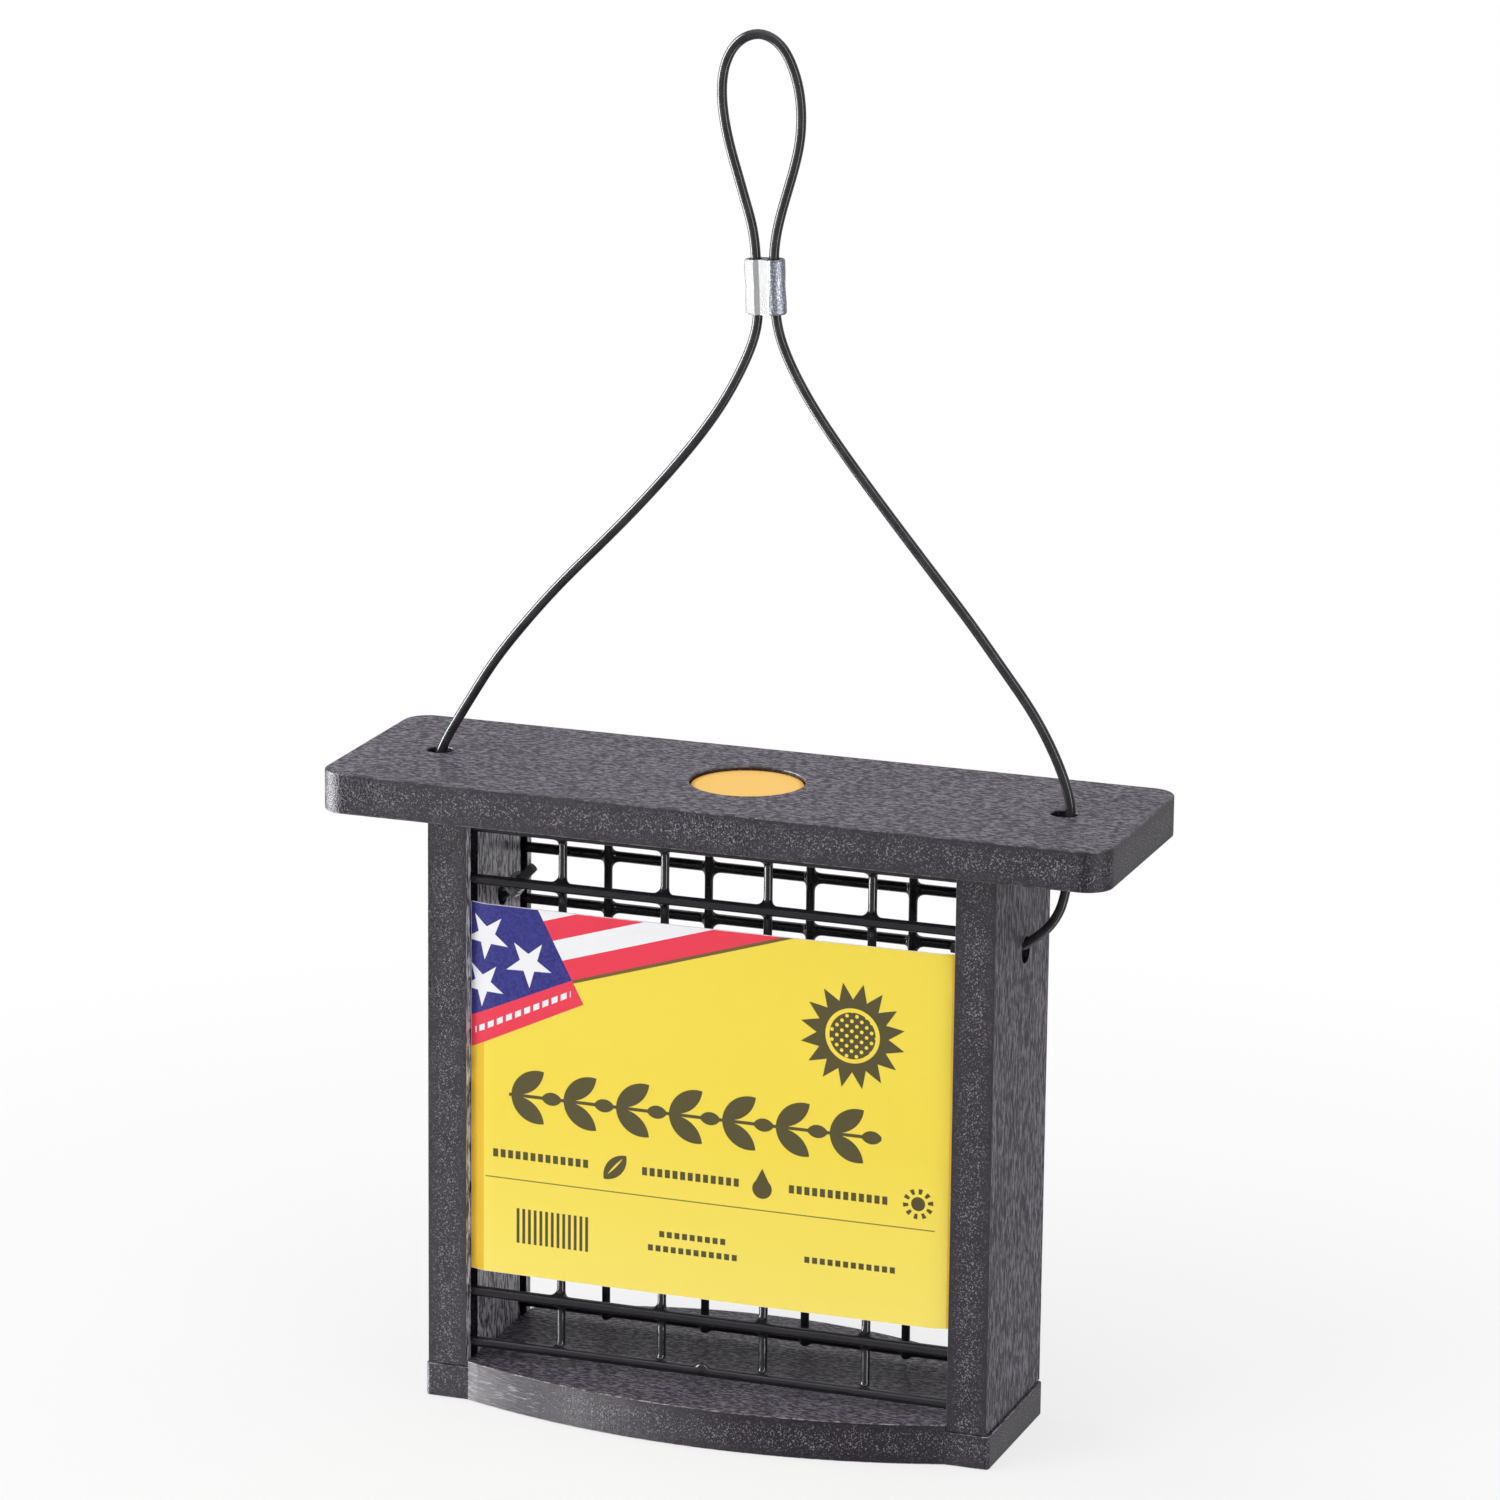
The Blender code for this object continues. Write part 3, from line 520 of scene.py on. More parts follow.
def cut_plank(bm, cuts, name, wide_axis):
    """A plank with its holes cut and its arrises rounded. Its wide faces get the first finish, its narrow
    edges the second and the slopes between them the third."""
    cutter = guide_of(cuts, name + "_cuts")
    mesh = shaped(bm, name, [
        ("BOOLEAN", {"operation": "DIFFERENCE", "solver": "EXACT", "object": cutter}),
        ("BEVEL", {"width": ARRIS, "segments": 3, "limit_method": "ANGLE", "angle_limit": math.radians(40),
                   "profile": 0.5, "harden_normals": True}),
    ])
    bpy.data.objects.remove(cutter)
    for face in mesh.polygons:
        facing = abs(face.normal[wide_axis])
        narrow_edge = facing < EDGE_FACING
        sloping = not narrow_edge and facing < WIDE_FACING
        face.material_index = int(narrow_edge) + 2 * int(sloping)
    return mesh


def arc(half_chord, rise, steps):
    """Points of a shallow arc from -half_chord to half_chord, as distances along and out from its chord."""
    radius = (half_chord**2 + rise**2) / (2 * rise)
    reach = math.asin(half_chord / radius)
    angles = [reach * (2 * step / steps - 1) for step in range(steps + 1)]
    return [(radius * math.sin(angle), radius * math.cos(angle) - radius + rise) for angle in angles]


def extrude_up(bm, faces, height):
    """Pulls flat faces up into a block and gives back its top faces."""
    pulled = bmesh.ops.extrude_face_region(bm, geom=faces)["geom"]
    moved = [part for part in pulled if isinstance(part, bmesh.types.BMVert)]
    bmesh.ops.translate(bm, verts=moved, vec=(0, 0, height))
    return [part for part in pulled if isinstance(part, bmesh.types.BMFace)]


def round_edges(bm, edges, radius, facets):
    """Rounds edges off with that many facets."""
    bmesh.ops.bevel(
        bm, geom=edges, offset=radius, offset_type="OFFSET", segments=facets, profile=0.5, affect="EDGES",
        material=-1,
    )


def screw_places(middle_x):
    """Where the two screws under one side board stand."""
    return [(middle_x, HOUSING_Y + side * SCREW_REACH) for side in (-1, 1)]


base_low, base_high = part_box("base_board")
base = bmesh.new()
outlines = []
for side, bow in ((-1, FRONT_BOW), (1, BACK_BOW)):
    outline = []
    for x, out in arc(SHOULDER, bow, BOW_STEPS):
        outline.append(base.verts.new((HOUSING_X + x, HOUSING_Y + side * (PLANK_DEPTH / 2 + out), 0)))
    outlines.append(outline)
front, rear = outlines
ends = []
for x in (base_low.x, base_high.x):
    ends.append([base.verts.new((x, HOUSING_Y + side * PLANK_DEPTH / 2, 0)) for side in (-1, 1)])
fields = [
    base.faces.new([ends[0][0], front[0], rear[0], ends[0][1]]),
    base.faces.new(front + rear[::-1]),
    base.faces.new([front[-1], ends[1][0], ends[1][1], rear[-1]]),
]
tops = extrude_up(base, fields, PLANK_THICKNESS - RABBET_DEPTH)
middle_field = [face for face in tops if len(face.verts) > 4]
extrude_up(base, middle_field, RABBET_DEPTH)
bmesh.ops.delete(base, geom=middle_field, context="FACES_ONLY")
bmesh.ops.recalc_face_normals(base, faces=base.faces)
corners = [
    edge for edge in base.edges
    if all(min(abs(vert.co.x - x) for x in (base_low.x, base_high.x)) < END_GAP for vert in edge.verts)
    and abs(edge.verts[0].co.z - edge.verts[1].co.z) > RABBET_DEPTH
]
round_edges(base, corners, BASE_CORNER_RADIUS, CORNER_FACETS)
screw_holes = bmesh.new()
for side in (-1, 1):
    for x, y in screw_places(HOUSING_X + side * (HALF_OPENING + PLANK_THICKNESS / 2)):
        head = SCREW_HEAD_RADIUS + END_GAP
        shank = SCREW_SHANK_RADIUS + END_GAP
        slope_middle = SCREW_SINK + SCREW_HEAD_HEIGHT / 2
        add_cylinder(screw_holes, head, SCREW_SINK * 2, (x, y, 0))
        add_cylinder(screw_holes, head, SCREW_HEAD_HEIGHT, (x, y, slope_middle), top_radius=shank)
        add_cylinder(screw_holes, shank, PLANK_THICKNESS * 2, (x, y, PLANK_THICKNESS + SCREW_SINK))
base_face = drawn_finish("base_face", X_AXIS, LEVEL_GRAIN, 0.45)
bow_start = HOUSING_X - HALF_OPENING
drawn_end = bow_start + HALF_OPENING * DRAWN_SHARE
base_edge = stippled_finish("base_edge", Z_AXIS, PLANK_THICKNESS / 2, bow_start, drawn_end)
base_arris = arris_finish("base_arris", BASE_ARRIS_WEAR_AND_HIGHLIGHT)
base_mesh = cut_plank(base, screw_holes, "base", Z_AXIS)
base_piece = add_piece("base", base_mesh, (base_face, base_edge, base_arris), ["base_board"])
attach(base_piece, "housing")


# Side boards: two uprights of the same plank, each with two saw kerfs down its inner face for the wire
# panels and a hole near the top for the cable. Screws from below hold them on the base.
KERF_Y = 0.0157
KERF_WIDTH = 0.0044
KERF_DEPTH = 0.0052
HOLE_RADIUS = 0.0032
SIDE_HOLE_Z = 0.1194
SIDE_HOLE_Y = HOUSING_Y + 0.0025
CUT_OVERRUN = 0.002
UPRIGHT_GRAIN = (280, 520)
# Pale arris colour of the other planks: wear and a painted highlight along their edges
PLANK_ARRIS_WEAR_AND_HIGHLIGHT = (0.11, 0.10, 0.115, 1)
plank_arris = arris_finish("plank_arris", PLANK_ARRIS_WEAR_AND_HIGHLIGHT)
for side_name, side in (("left", -1), ("right", 1)):
    low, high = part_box("side_board_" + side_name)
    board = bmesh.new()
    add_box(board, low, high)
    cuts = bmesh.new()
    inner_x = HOUSING_X + side * HALF_OPENING
    for kerf_y in (HOUSING_Y - KERF_Y, HOUSING_Y + KERF_Y):
        kerf_ends = sorted((inner_x - side * CUT_OVERRUN, inner_x + side * KERF_DEPTH))
        kerf_low = (kerf_ends[0], kerf_y - KERF_WIDTH / 2, low.z - CUT_OVERRUN)
        kerf_high = (kerf_ends[1], kerf_y + KERF_WIDTH / 2, high.z + CUT_OVERRUN)
        add_box(cuts, kerf_low, kerf_high)
    middle_x = (low.x + high.x) / 2
    across = Matrix.Rotation(math.tau / 4, 4, "Y")
    add_cylinder(cuts, HOLE_RADIUS, PLANK_THICKNESS * 2, (middle_x, SIDE_HOLE_Y, SIDE_HOLE_Z), across)
    screw_hole = SCREW_SHANK_RADIUS + END_GAP
    for x, y in screw_places(middle_x):
        add_cylinder(cuts, screw_hole, PLANK_THICKNESS * 2, (x, y, low.z + PLANK_THICKNESS / 2))
    side_face = drawn_finish("side_face_" + side_name, Z_AXIS, UPRIGHT_GRAIN, 0.45, middle_x, -side)
    side_edge = stippled_finish("side_edge_" + side_name, X_AXIS, middle_x)
    upright_mesh = cut_plank(board, cuts, "upright_" + side_name, X_AXIS)
    upright = add_piece(
        "upright_" + side_name, upright_mesh, (side_face, side_edge, plank_arris),
        ["side_board_" + side_name],
    )
    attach(upright, "housing")


# Base screws: four plain steel countersunk screws with a cross drive, driven up through the base into the
# ends of the side boards. They show only from below.
SCREW_DARK = (0.42, 0.41, 0.40, 1)
SCREW_PALE = (0.64, 0.63, 0.61, 1)
screw_steel = Finish("screw_steel", {"Metallic": 1.0})
brushing = screw_steel.cloud(screw_steel.place(), (2600, 300, 300), detail=3)
screw_steel.feed(screw_steel.shader, {
    "Base Color": screw_steel.mix(brushing, SCREW_DARK, SCREW_PALE),
    "Roughness": 0.22 + brushing * 0.25,
    "Normal": screw_steel.relief(brushing, 0.00004),
})
for side_name in ("left", "right"):
    for depth_name in ("front", "back"):
        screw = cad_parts["base_screw_" + side_name + "_" + depth_name]
        screw.data.materials.clear()
        screw.data.materials.append(screw_steel.material)


# Stops: short aluminium sleeves crimped near the cable's two ends inside the housing, too wide for the holes
# in the side boards.
STOP_LENGTH = 0.0034
STOP_WIDTH = 0.0072
STOP_DEPTH = 0.0046
CABLE_PROUD = 0.0046
BORE_RADIUS = CABLE_DIAMETER / 2 + END_GAP
SLEEVE_EASE = 0.00025
STOP_LEVELS = (0, 0.06, 0.3, 0.4, 0.6, 0.7, 0.94, 1)
STOP_SIZES = (0.95, 1, 1, 0.93, 0.93, 1, 1, 0.95)
STOP_STEPS = 14
BRIGHT_METAL = (0.88, 0.885, 0.89, 1)
DULL_METAL = (0.24, 0.25, 0.31, 1)
DULL_METAL_FLECK = (0.70, 0.72, 0.78, 1)
SAWN_DARK = (0.10, 0.10, 0.115, 1)
SAWN_PALE = (0.34, 0.34, 0.37, 1)
END_FACING = 0.3
NO_DULL_PART = 1.0


def sleeve_outline(width, depth, steps):
    """An oval sleeve from above: a half round at each end and a flat between them on each side."""
    radius = depth / 2
    middle = width / 2 - radius
    points = []
    for side in (1, -1):
        for step in range(steps + 1):
            angle = math.pi * (step / steps - 0.5)
            points.append((side * (middle + radius * math.cos(angle)), side * radius * math.sin(angle)))
        points.append((0, side * radius))
    return points


def add_sleeve(bm, outline, height, level_shares, size_shares):
    """A sleeve pulled up level by level, each drawn in or let out to its share of the outline's size."""
    face = bm.faces.new([bm.verts.new((x, y, -height / 2)) for x, y in outline])
    bmesh.ops.scale(bm, verts=face.verts, vec=(size_shares[0], size_shares[0], 1))
    bmesh.ops.reverse_faces(bm, faces=[face])
    top = face
    for level in range(1, len(level_shares)):
        rise = (level_shares[level] - level_shares[level - 1]) * height
        growth = size_shares[level] / size_shares[level - 1]
        top = extrude_up(bm, [top], rise)[0]
        bmesh.ops.scale(bm, verts=top.verts, vec=(growth, growth, 1))
    bmesh.ops.recalc_face_normals(bm, faces=bm.faces)


def aluminium_finish(name, dull_from_x, roughness):
    """Bright aluminium. Right of the given place the crimping tool has left it dull and pitted."""
    made = Finish(name, {"Metallic": 1.0})
    place = made.place()
    pits = made.cloud(place, (2700, 2700, 2700), detail=2, roughness=0.7)
    dull = made.axes(place)[0].rise(dull_from_x - 0.0001, dull_from_x + 0.0003)
    flecks = pits.rise(0.54, 0.60)
    dull_metal = made.mix(flecks, DULL_METAL, DULL_METAL_FLECK)
    made.feed(made.shader, {
        "Base Color": made.mix(dull, BRIGHT_METAL, dull_metal),
        "Roughness": roughness + dull * (0.42 - roughness),
        "Normal": made.relief(pits * dull, 0.00012),
    })
    return made


def add_sleeve_piece(name, bm, bores, place, finishes, body, node):
    """Bores a sleeve, eases its edges and sets it in its place; its ends and edges get the second finish."""
    bore_guide = guide_of(bores, name + "_bores")
    mesh = shaped(bm, name, [
        ("BOOLEAN", {"operation": "DIFFERENCE", "solver": "EXACT", "object": bore_guide}),
        ("BEVEL", {"width": SLEEVE_EASE, "segments": 2, "limit_method": "ANGLE",
                   "angle_limit": math.radians(60), "profile": 0.5}),
    ])
    bpy.data.objects.remove(bore_guide)
    for face in mesh.polygons:
        face.material_index = int(abs(face.normal.z) > END_FACING)
    mesh.transform(place)
    mesh.shade_smooth()
    mesh.set_sharp_from_angle(angle=math.radians(20))
    made = add_piece(name, mesh, finishes, [node])
    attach(made, body)


bright_aluminium = aluminium_finish("bright_aluminium", NO_DULL_PART, 0.36)
sawn_aluminium = Finish("sawn_aluminium", {"Metallic": 1.0})
saw_marks = sawn_aluminium.cloud(sawn_aluminium.place(), (2600, 2600, 2600), detail=2)
sawn_aluminium.feed(sawn_aluminium.shader, {
    "Base Color": sawn_aluminium.mix(saw_marks, SAWN_DARK, SAWN_PALE),
    "Roughness": 0.42 + saw_marks * 0.3,
})
for side_name, route in (("left", LEFT_ROUTE), ("right", RIGHT_ROUTE)):
    tip, inner = Vector(route[0]), Vector(route[1])
    along = (inner - tip).normalized()
    sleeve = bmesh.new()
    stop_outline = sleeve_outline(STOP_WIDTH, STOP_DEPTH, STOP_STEPS)
    add_sleeve(sleeve, stop_outline, STOP_LENGTH, STOP_LEVELS, STOP_SIZES)
    bores = bmesh.new()
    add_cylinder(bores, BORE_RADIUS, STOP_LENGTH * 2, (0, 0, 0), sides=32)
    turn = Matrix.Rotation(math.atan2(along.x, along.z), 4, "Y") @ Matrix.Rotation(math.tau / 4, 4, "Z")
    place = Matrix.Translation(tip + along * (CABLE_PROUD + STOP_LENGTH / 2)) @ turn
    add_sleeve_piece(
        "stop_" + side_name, sleeve, bores, place, (bright_aluminium, sawn_aluminium), "housing",
        "stop_ferrule_" + side_name,
    )


# Wire panels: welded mesh, inch by half inch, dipped in a thick glossy black coat that pools in a fillet at
# each crossing and in drips on the lowest wires. They stand loose in the side boards' kerfs.
UPRIGHT_RADIUS = 0.00112
CROSS_RADIUS = 0.00132
LAYER_SPACING = 0.0017
UPRIGHT_PITCH = 0.0254
CROSS_PITCH = 0.0127
UPRIGHT_COUNT = 6
CROSS_COUNT = 11
COAT_VOXEL = 0.00048
POOL_RADIUS = 0.0022
DRIP_RADIUS = 0.0016
DRIP_LIFT = 0.0008
DRIP_PLACE_SHARE = 0.43
DRIP_BAY = 2
WIRE_BLACK = (0.010, 0.009, 0.012, 1)
WIRE_RIPPLE = (0.021, 0.019, 0.024, 1)
wire_coat = Finish("wire_coat", {"Specular IOR Level": 0.6})
wire_place = wire_coat.place()
ripples = wire_coat.cloud(wire_place, (260, 260, 260), detail=2)
wire_coat.feed(wire_coat.shader, {
    "Base Color": wire_coat.mix(ripples, WIRE_BLACK, WIRE_RIPPLE),
    "Roughness": 0.10 + ripples * 0.08,
    "Normal": wire_coat.relief(ripples, 0.0002),
})


def add_ball(bm, middle, half_sizes):
    """A blob of coating."""
    place = Matrix.Translation(middle) @ Matrix.Diagonal((*half_sizes, 1))
    bmesh.ops.create_uvsphere(bm, u_segments=24, v_segments=16, radius=1, matrix=place)


def evenly(middle, pitch, count):
    """That many places in a row, a pitch apart, about their middle."""
    return [middle + (index - (count - 1) / 2) * pitch for index in range(count)]


for panel_name, side, node in (("front_panel", -1, "front_mesh"), ("back_panel", 1, "back_mesh")):
    low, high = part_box(node)
    middle = (low + high) / 2
    inner_y = middle.y - side * LAYER_SPACING / 2
    outer_y = middle.y + side * LAYER_SPACING / 2
    upright_xs = evenly(middle.x, UPRIGHT_PITCH, UPRIGHT_COUNT)
    cross_zs = evenly(middle.z, CROSS_PITCH, CROSS_COUNT)
    wires = bmesh.new()
    for x in upright_xs:
        add_cylinder(wires, UPRIGHT_RADIUS, high.z - low.z, (x, inner_y, middle.z), sides=24)
    for z in cross_zs:
        along_x = Matrix.Rotation(math.tau / 4, 4, "Y")
        add_cylinder(wires, CROSS_RADIUS, high.x - low.x, (middle.x, outer_y, z), along_x, sides=24)
        pool = POOL_RADIUS if z > low.z + CROSS_PITCH / 2 else CROSS_RADIUS
        for x in upright_xs:
            add_ball(wires, (x, middle.y, z), (POOL_RADIUS, UPRIGHT_RADIUS, pool))
    drip_x = upright_xs[DRIP_BAY] + UPRIGHT_PITCH * DRIP_PLACE_SHARE
    add_ball(wires, (drip_x, outer_y, cross_zs[0] + DRIP_LIFT), (DRIP_RADIUS, CROSS_RADIUS, DRIP_RADIUS))
    mesh = shaped(wires, panel_name, [
        ("REMESH", {"mode": "VOXEL", "voxel_size": COAT_VOXEL, "use_smooth_shade": True}),
        ("SMOOTH", {"factor": 0.5, "iterations": 7}),
    ])
    panel = add_piece(panel_name, mesh, (wire_coat,), [node])
    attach(panel, "housing")


# Label card: thin printed card in front of the front panel, held between the uprights by a narrow band
# folded back along each side. The print is stars and stripes across one corner and a plain seed and leaf
# pattern.
MILLIMETRE = 0.001
CARD_ROWS = 24
CARD_THICKNESS = 0.0004
CARD_BAND_WIDTH = 0.0036
CARD_FOLD = 0.00105
CARD_BOW = 0.0004
YELLOW = (0.92, 0.725, 0.074, 1)
# Paler yellow for the card's lower part: painted light
PAINTED_LIGHT_YELLOW = (0.97, 0.80, 0.145, 1)
# Deeper orange yellow for the folded side bands: painted shade, with a painted orange tint of reflected
# light
FOLD_SHADE_YELLOW = (0.86, 0.54, 0.034, 1)
OLIVE = (0.085, 0.070, 0.024, 1)
BORDER_OLIVE = (0.17, 0.10, 0.030, 1)
NAVY = (0.020, 0.020, 0.175, 1)
PALE_NAVY = (0.043, 0.042, 0.260, 1)
STRIPE_RED = (0.84, 0.045, 0.085, 1)
PAPER = (0.90, 0.90, 0.93, 1)
PULP_GREY = (0.70, 0.69, 0.66, 1)
PULP_PALE = (0.84, 0.83, 0.80, 1)
STAR_INNER_SHARE = 0.309
card_low, card_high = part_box("label_card")
card_width = card_high.x - card_low.x
card_height = card_high.z - card_low.z
card_print = Finish("card_print", {"Roughness": 0.42, "Specular IOR Level": 0.4})
card_place = card_print.place()
card_x, _, card_z = card_print.axes(card_place)
# Across and up the card from its lower left corner, in millimetres
u = (card_x - card_low.x) / MILLIMETRE
v = (card_z - card_low.z) / MILLIMETRE


def distance_from(across, along):
    """The distance from a point, given its two offsets."""
    return (across * across + along * along).root()


def disc(middle_u, middle_v, radius):
    """A round spot."""
    return distance_from(u - middle_u, v - middle_v) < radius


def box(low_u, high_u, low_v, high_v):
    """An upright rectangle."""
    return (u > low_u) & (u < high_u) & (v > low_v) & (v < high_v)


def star(middle_u, middle_v, reach, turn):
    """A five-pointed star."""
    across, along = u - middle_u, v - middle_v
    angle = across.math("ARCTAN2", along, across) + math.radians(turn)
    folded = abs(angle % (math.tau / 5) - math.tau / 10)
    edge = distance_from(across, along) * (folded + math.tau / 10).cosine()
    return edge < reach * STAR_INNER_SHARE


def leaf(across, along, turn, length, width):
    """A pointed leaf that starts at the offsets' origin and lies at an angle."""
    cos, sin = math.cos(math.radians(turn)), math.sin(math.radians(turn))
    lengthwise = across * cos + along * sin - length / 2
    sideways = along * cos - across * sin
    radius = (length**2 / 4 + width**2 / 4) / width
    return distance_from(lengthwise, abs(sideways) + (radius - width / 2)) < radius


def dashes(low_u, count, low_v, high_v, pitch=1.9, share=0.66):
    """A row of short upright dashes."""
    return box(low_u, low_u + count * pitch, low_v, high_v) & ((u - low_u) % pitch < pitch * share)


# Stars and stripes across the upper left corner, on a red foot with a row of pale dashes
STRIPE_SLOPE = 0.311
STRIPE_FOOT = 66.1
STRIPE_WIDTH = 5.27
BORDER_WIDTH = 0.85
canton_side = (v - 90.3) * -0.53 + 17.2
falling = v - u * STRIPE_SLOPE - STRIPE_FOOT
stripe_ground = falling > 0
foot_drop = v - u * 0.478
foot_ground = (foot_drop > 54.8) & (u < canton_side)
canton = (u < canton_side) & (v - u * 0.445 > 62.6)
border = (falling > -BORDER_WIDTH) & (u > canton_side)
stripes = falling % (STRIPE_WIDTH * 2) < STRIPE_WIDTH
stars = star(4.2, 82.6, 5.9, 22) | star(14.9, 77.0, 6.0, 16) | star(3.2, 70.8, 5.7, 20)
foot_dashes = (abs(foot_drop - 58.6) < 0.75) & ((u % 2.3) < 1.5) & (u > 1.2) & (u < 25.5)
mottle = card_print.cloud(card_place, (1500, 1500, 1500), detail=2).rise(0.35, 0.7)
navy = card_print.mix(mottle, NAVY, PALE_NAVY)
flag = card_print.mix(stripes, PAPER, STRIPE_RED)
flag = card_print.mix(foot_ground, flag, card_print.mix(foot_dashes, STRIPE_RED, PAPER))
flag = card_print.mix(canton, flag, card_print.mix(stars, navy, PAPER))

# A sunflower at the upper right: a seed head in a ring of petals
FLOWER_U = 95.0
FLOWER_V = 68.5
PETALS = 16
SEED_PITCH = 2.4
flower_across, flower_along = u - FLOWER_U, v - FLOWER_V
from_flower = distance_from(flower_across, flower_along)
flower_angle = flower_across.math("ARCTAN2", flower_along, flower_across)
petal_turn = abs(flower_angle % (math.tau / PETALS) - math.tau / PETALS / 2) * from_flower
petals = (from_flower > 6.6) & (petal_turn < (12.8 - from_flower) * 0.42) & (petal_turn < 1.75)
seed_row = (u + v) % SEED_PITCH
seed_column = (u - v) % SEED_PITCH
seeds = distance_from(seed_row - SEED_PITCH / 2, seed_column - SEED_PITCH / 2) < 0.62
flower = petals | ((from_flower < 5.6) & (1 - seeds))

# A garland of leaves and seeds across the middle
GARLAND_V = 44.5
GARLAND_PITCH = 13.2
garland_u = (u - 10.0) % GARLAND_PITCH - GARLAND_PITCH / 2
garland_v = v - GARLAND_V
garland = leaf(garland_u + 6.0, abs(garland_v) - 0.4, 36, 10.2, 4.6)
garland = garland | leaf(garland_u - 1.6, garland_v, 0, 5.2, 3.2) | (abs(garland_v) < 0.4)
garland = garland & (u > 10.0) & (u < 10.0 + GARLAND_PITCH * 7) & (v > 36) & (v < 53)

# Three small pictures, a leaf, a drop and a sun, each after a row of dashes
leaf_picture = leaf(u - 34.0, v - 26.6, 48, 8.4, 4.2) & (1 - leaf(u - 35.0, v - 27.9, 48, 5.6, 0.5))
drop_picture = disc(73.4, 28.9, 2.4) | ((v > 28.9) & (abs(u - 73.4) < (33.9 - v) * 0.5))
sun_across, sun_along = u - 111.5, v - 29.8
sun_ring = distance_from(sun_across, sun_along)
sun_turn = sun_ring.math("ARCTAN2", sun_along, sun_across) % (math.tau / 10)
sun_picture = (sun_ring < 1.7) | ((sun_ring > 2.4) & (sun_ring < 3.7) & (sun_turn < math.tau / 22))
pictures = leaf_picture | drop_picture | sun_picture
for start in (6.0, 43.6, 80.0):
    pictures = pictures | dashes(start, 13, 28.7, 30.7)

# A thin rule, and under it a comb of upright bars and short rows of dashes
rule = box(4.0, 115.6, 23.5, 23.8)
lower = dashes(12.0, 13, 8.0, 16.6, 1.45, 0.5)
lower = lower | dashes(48.0, 9, 14.0, 15.5) | dashes(45.2, 12, 10.4, 11.9) | dashes(84.0, 12, 12.2, 13.7)

ink = flower | garland | pictures | lower
from_right = card_width / MILLIMETRE - u
from_side = u & from_right
# The folded side bands are painted deeper orange: painted shade of the fold and a painted reflected tint
fold_shade_band = (u < CARD_BAND_WIDTH / MILLIMETRE) | (from_right < 0.9)
# The yellow ground is painted paler towards the bottom: painted light
ground_with_painted_light = card_print.mix(v.rise(0, 40), PAINTED_LIGHT_YELLOW, YELLOW)
printed = card_print.mix(ink, card_print.mix(fold_shade_band, ground_with_painted_light, FOLD_SHADE_YELLOW), OLIVE)
printed = card_print.mix(rule * 0.8, printed, OLIVE)
printed = card_print.mix(border, printed, BORDER_OLIVE)
printed = card_print.mix(foot_ground | (stripe_ground & (u > canton_side)) | canton, printed, flag)
paper_edge = (v > card_height / MILLIMETRE - 0.06) | (v < 0.05) | (from_side < 0.1)
fibres = card_print.cloud(card_place, (700, 700, 2400), detail=3)
card_print.feed(card_print.shader, {
    "Base Color": card_print.mix(paper_edge, printed, PAPER),
    "Roughness": 0.36 + fibres * 0.14,
    "Normal": card_print.relief(fibres, 0.00003),
})
card_back = Finish("card_back", {"Roughness": 0.6})
pulp = card_back.cloud(card_back.place(), (900, 900, 900), detail=3)
card_back.feed(card_back.shader, {
    "Base Color": card_back.mix(pulp, PULP_GREY, PULP_PALE),
    "Normal": card_back.relief(pulp, 0.00005),
})
card = bmesh.new()
card_middle_x = (card_low.x + card_high.x) / 2
half_card = card_width / 2
front_y = card_high.y - CARD_THICKNESS
profile = [(-half_card, 0)] + arc(half_card - CARD_BAND_WIDTH, CARD_BOW, 36)
profile = profile[:1] + [(x, CARD_FOLD + out) for x, out in profile[1:]] + [(half_card, 0)]
rail = [card.verts.new((card_middle_x + x, front_y - out, card_low.z)) for x, out in profile]
edges = [card.edges.new(pair) for pair in zip(rail, rail[1:])]
for row in range(CARD_ROWS):
    pulled = bmesh.ops.extrude_edge_only(card, edges=edges)["geom"]
    edges = [part for part in pulled if isinstance(part, bmesh.types.BMEdge)]
    moved = [part for part in pulled if isinstance(part, bmesh.types.BMVert)]
    bmesh.ops.translate(card, verts=moved, vec=(0, 0, card_height / CARD_ROWS))
bmesh.ops.recalc_face_normals(card, faces=card.faces)
if card.faces[:][0].normal.y > 0:
    bmesh.ops.reverse_faces(card, faces=card.faces)
card_mesh = shaped(card, "card", [("SOLIDIFY", {"thickness": CARD_THICKNESS, "offset": -1})])
for face in card_mesh.polygons:
    face.material_index = int(face.normal.y > -0.5)
card_mesh.shade_smooth()
card_mesh.set_sharp_from_angle(angle=math.radians(25))
card_piece = add_piece("card", card_mesh, (card_print, card_back), ["label_card"])
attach(card_piece, "housing")


# Roof: a wider plank with round corners, loose on the cable, which runs up through a hole near each end. A
# shallow round recess in the middle of its top holds the medallion.
ROOF_CORNER_RADIUS = 0.0064
ROOF_HOLE_X = 0.077
RECESS_RADIUS = 0.0135
RECESS_DEPTH = 0.0022
CORNER_STEPS = 16
ROUND_SIDES = 96
roof_low, roof_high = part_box("roof_board")
roof_board = bmesh.new()
roof_middle = (roof_low + roof_high) / 2
add_box(roof_board, roof_low, roof_high)
upright_edges = [edge for edge in roof_board.edges if abs(edge.verts[0].co.z - edge.verts[1].co.z) > ARRIS]
round_edges(roof_board, upright_edges, ROOF_CORNER_RADIUS, CORNER_STEPS)
roof_cuts = bmesh.new()
for x in (-ROOF_HOLE_X, ROOF_HOLE_X):
    add_cylinder(roof_cuts, HOLE_RADIUS, PLANK_THICKNESS * 2, (x, HOUSING_Y, roof_middle.z))
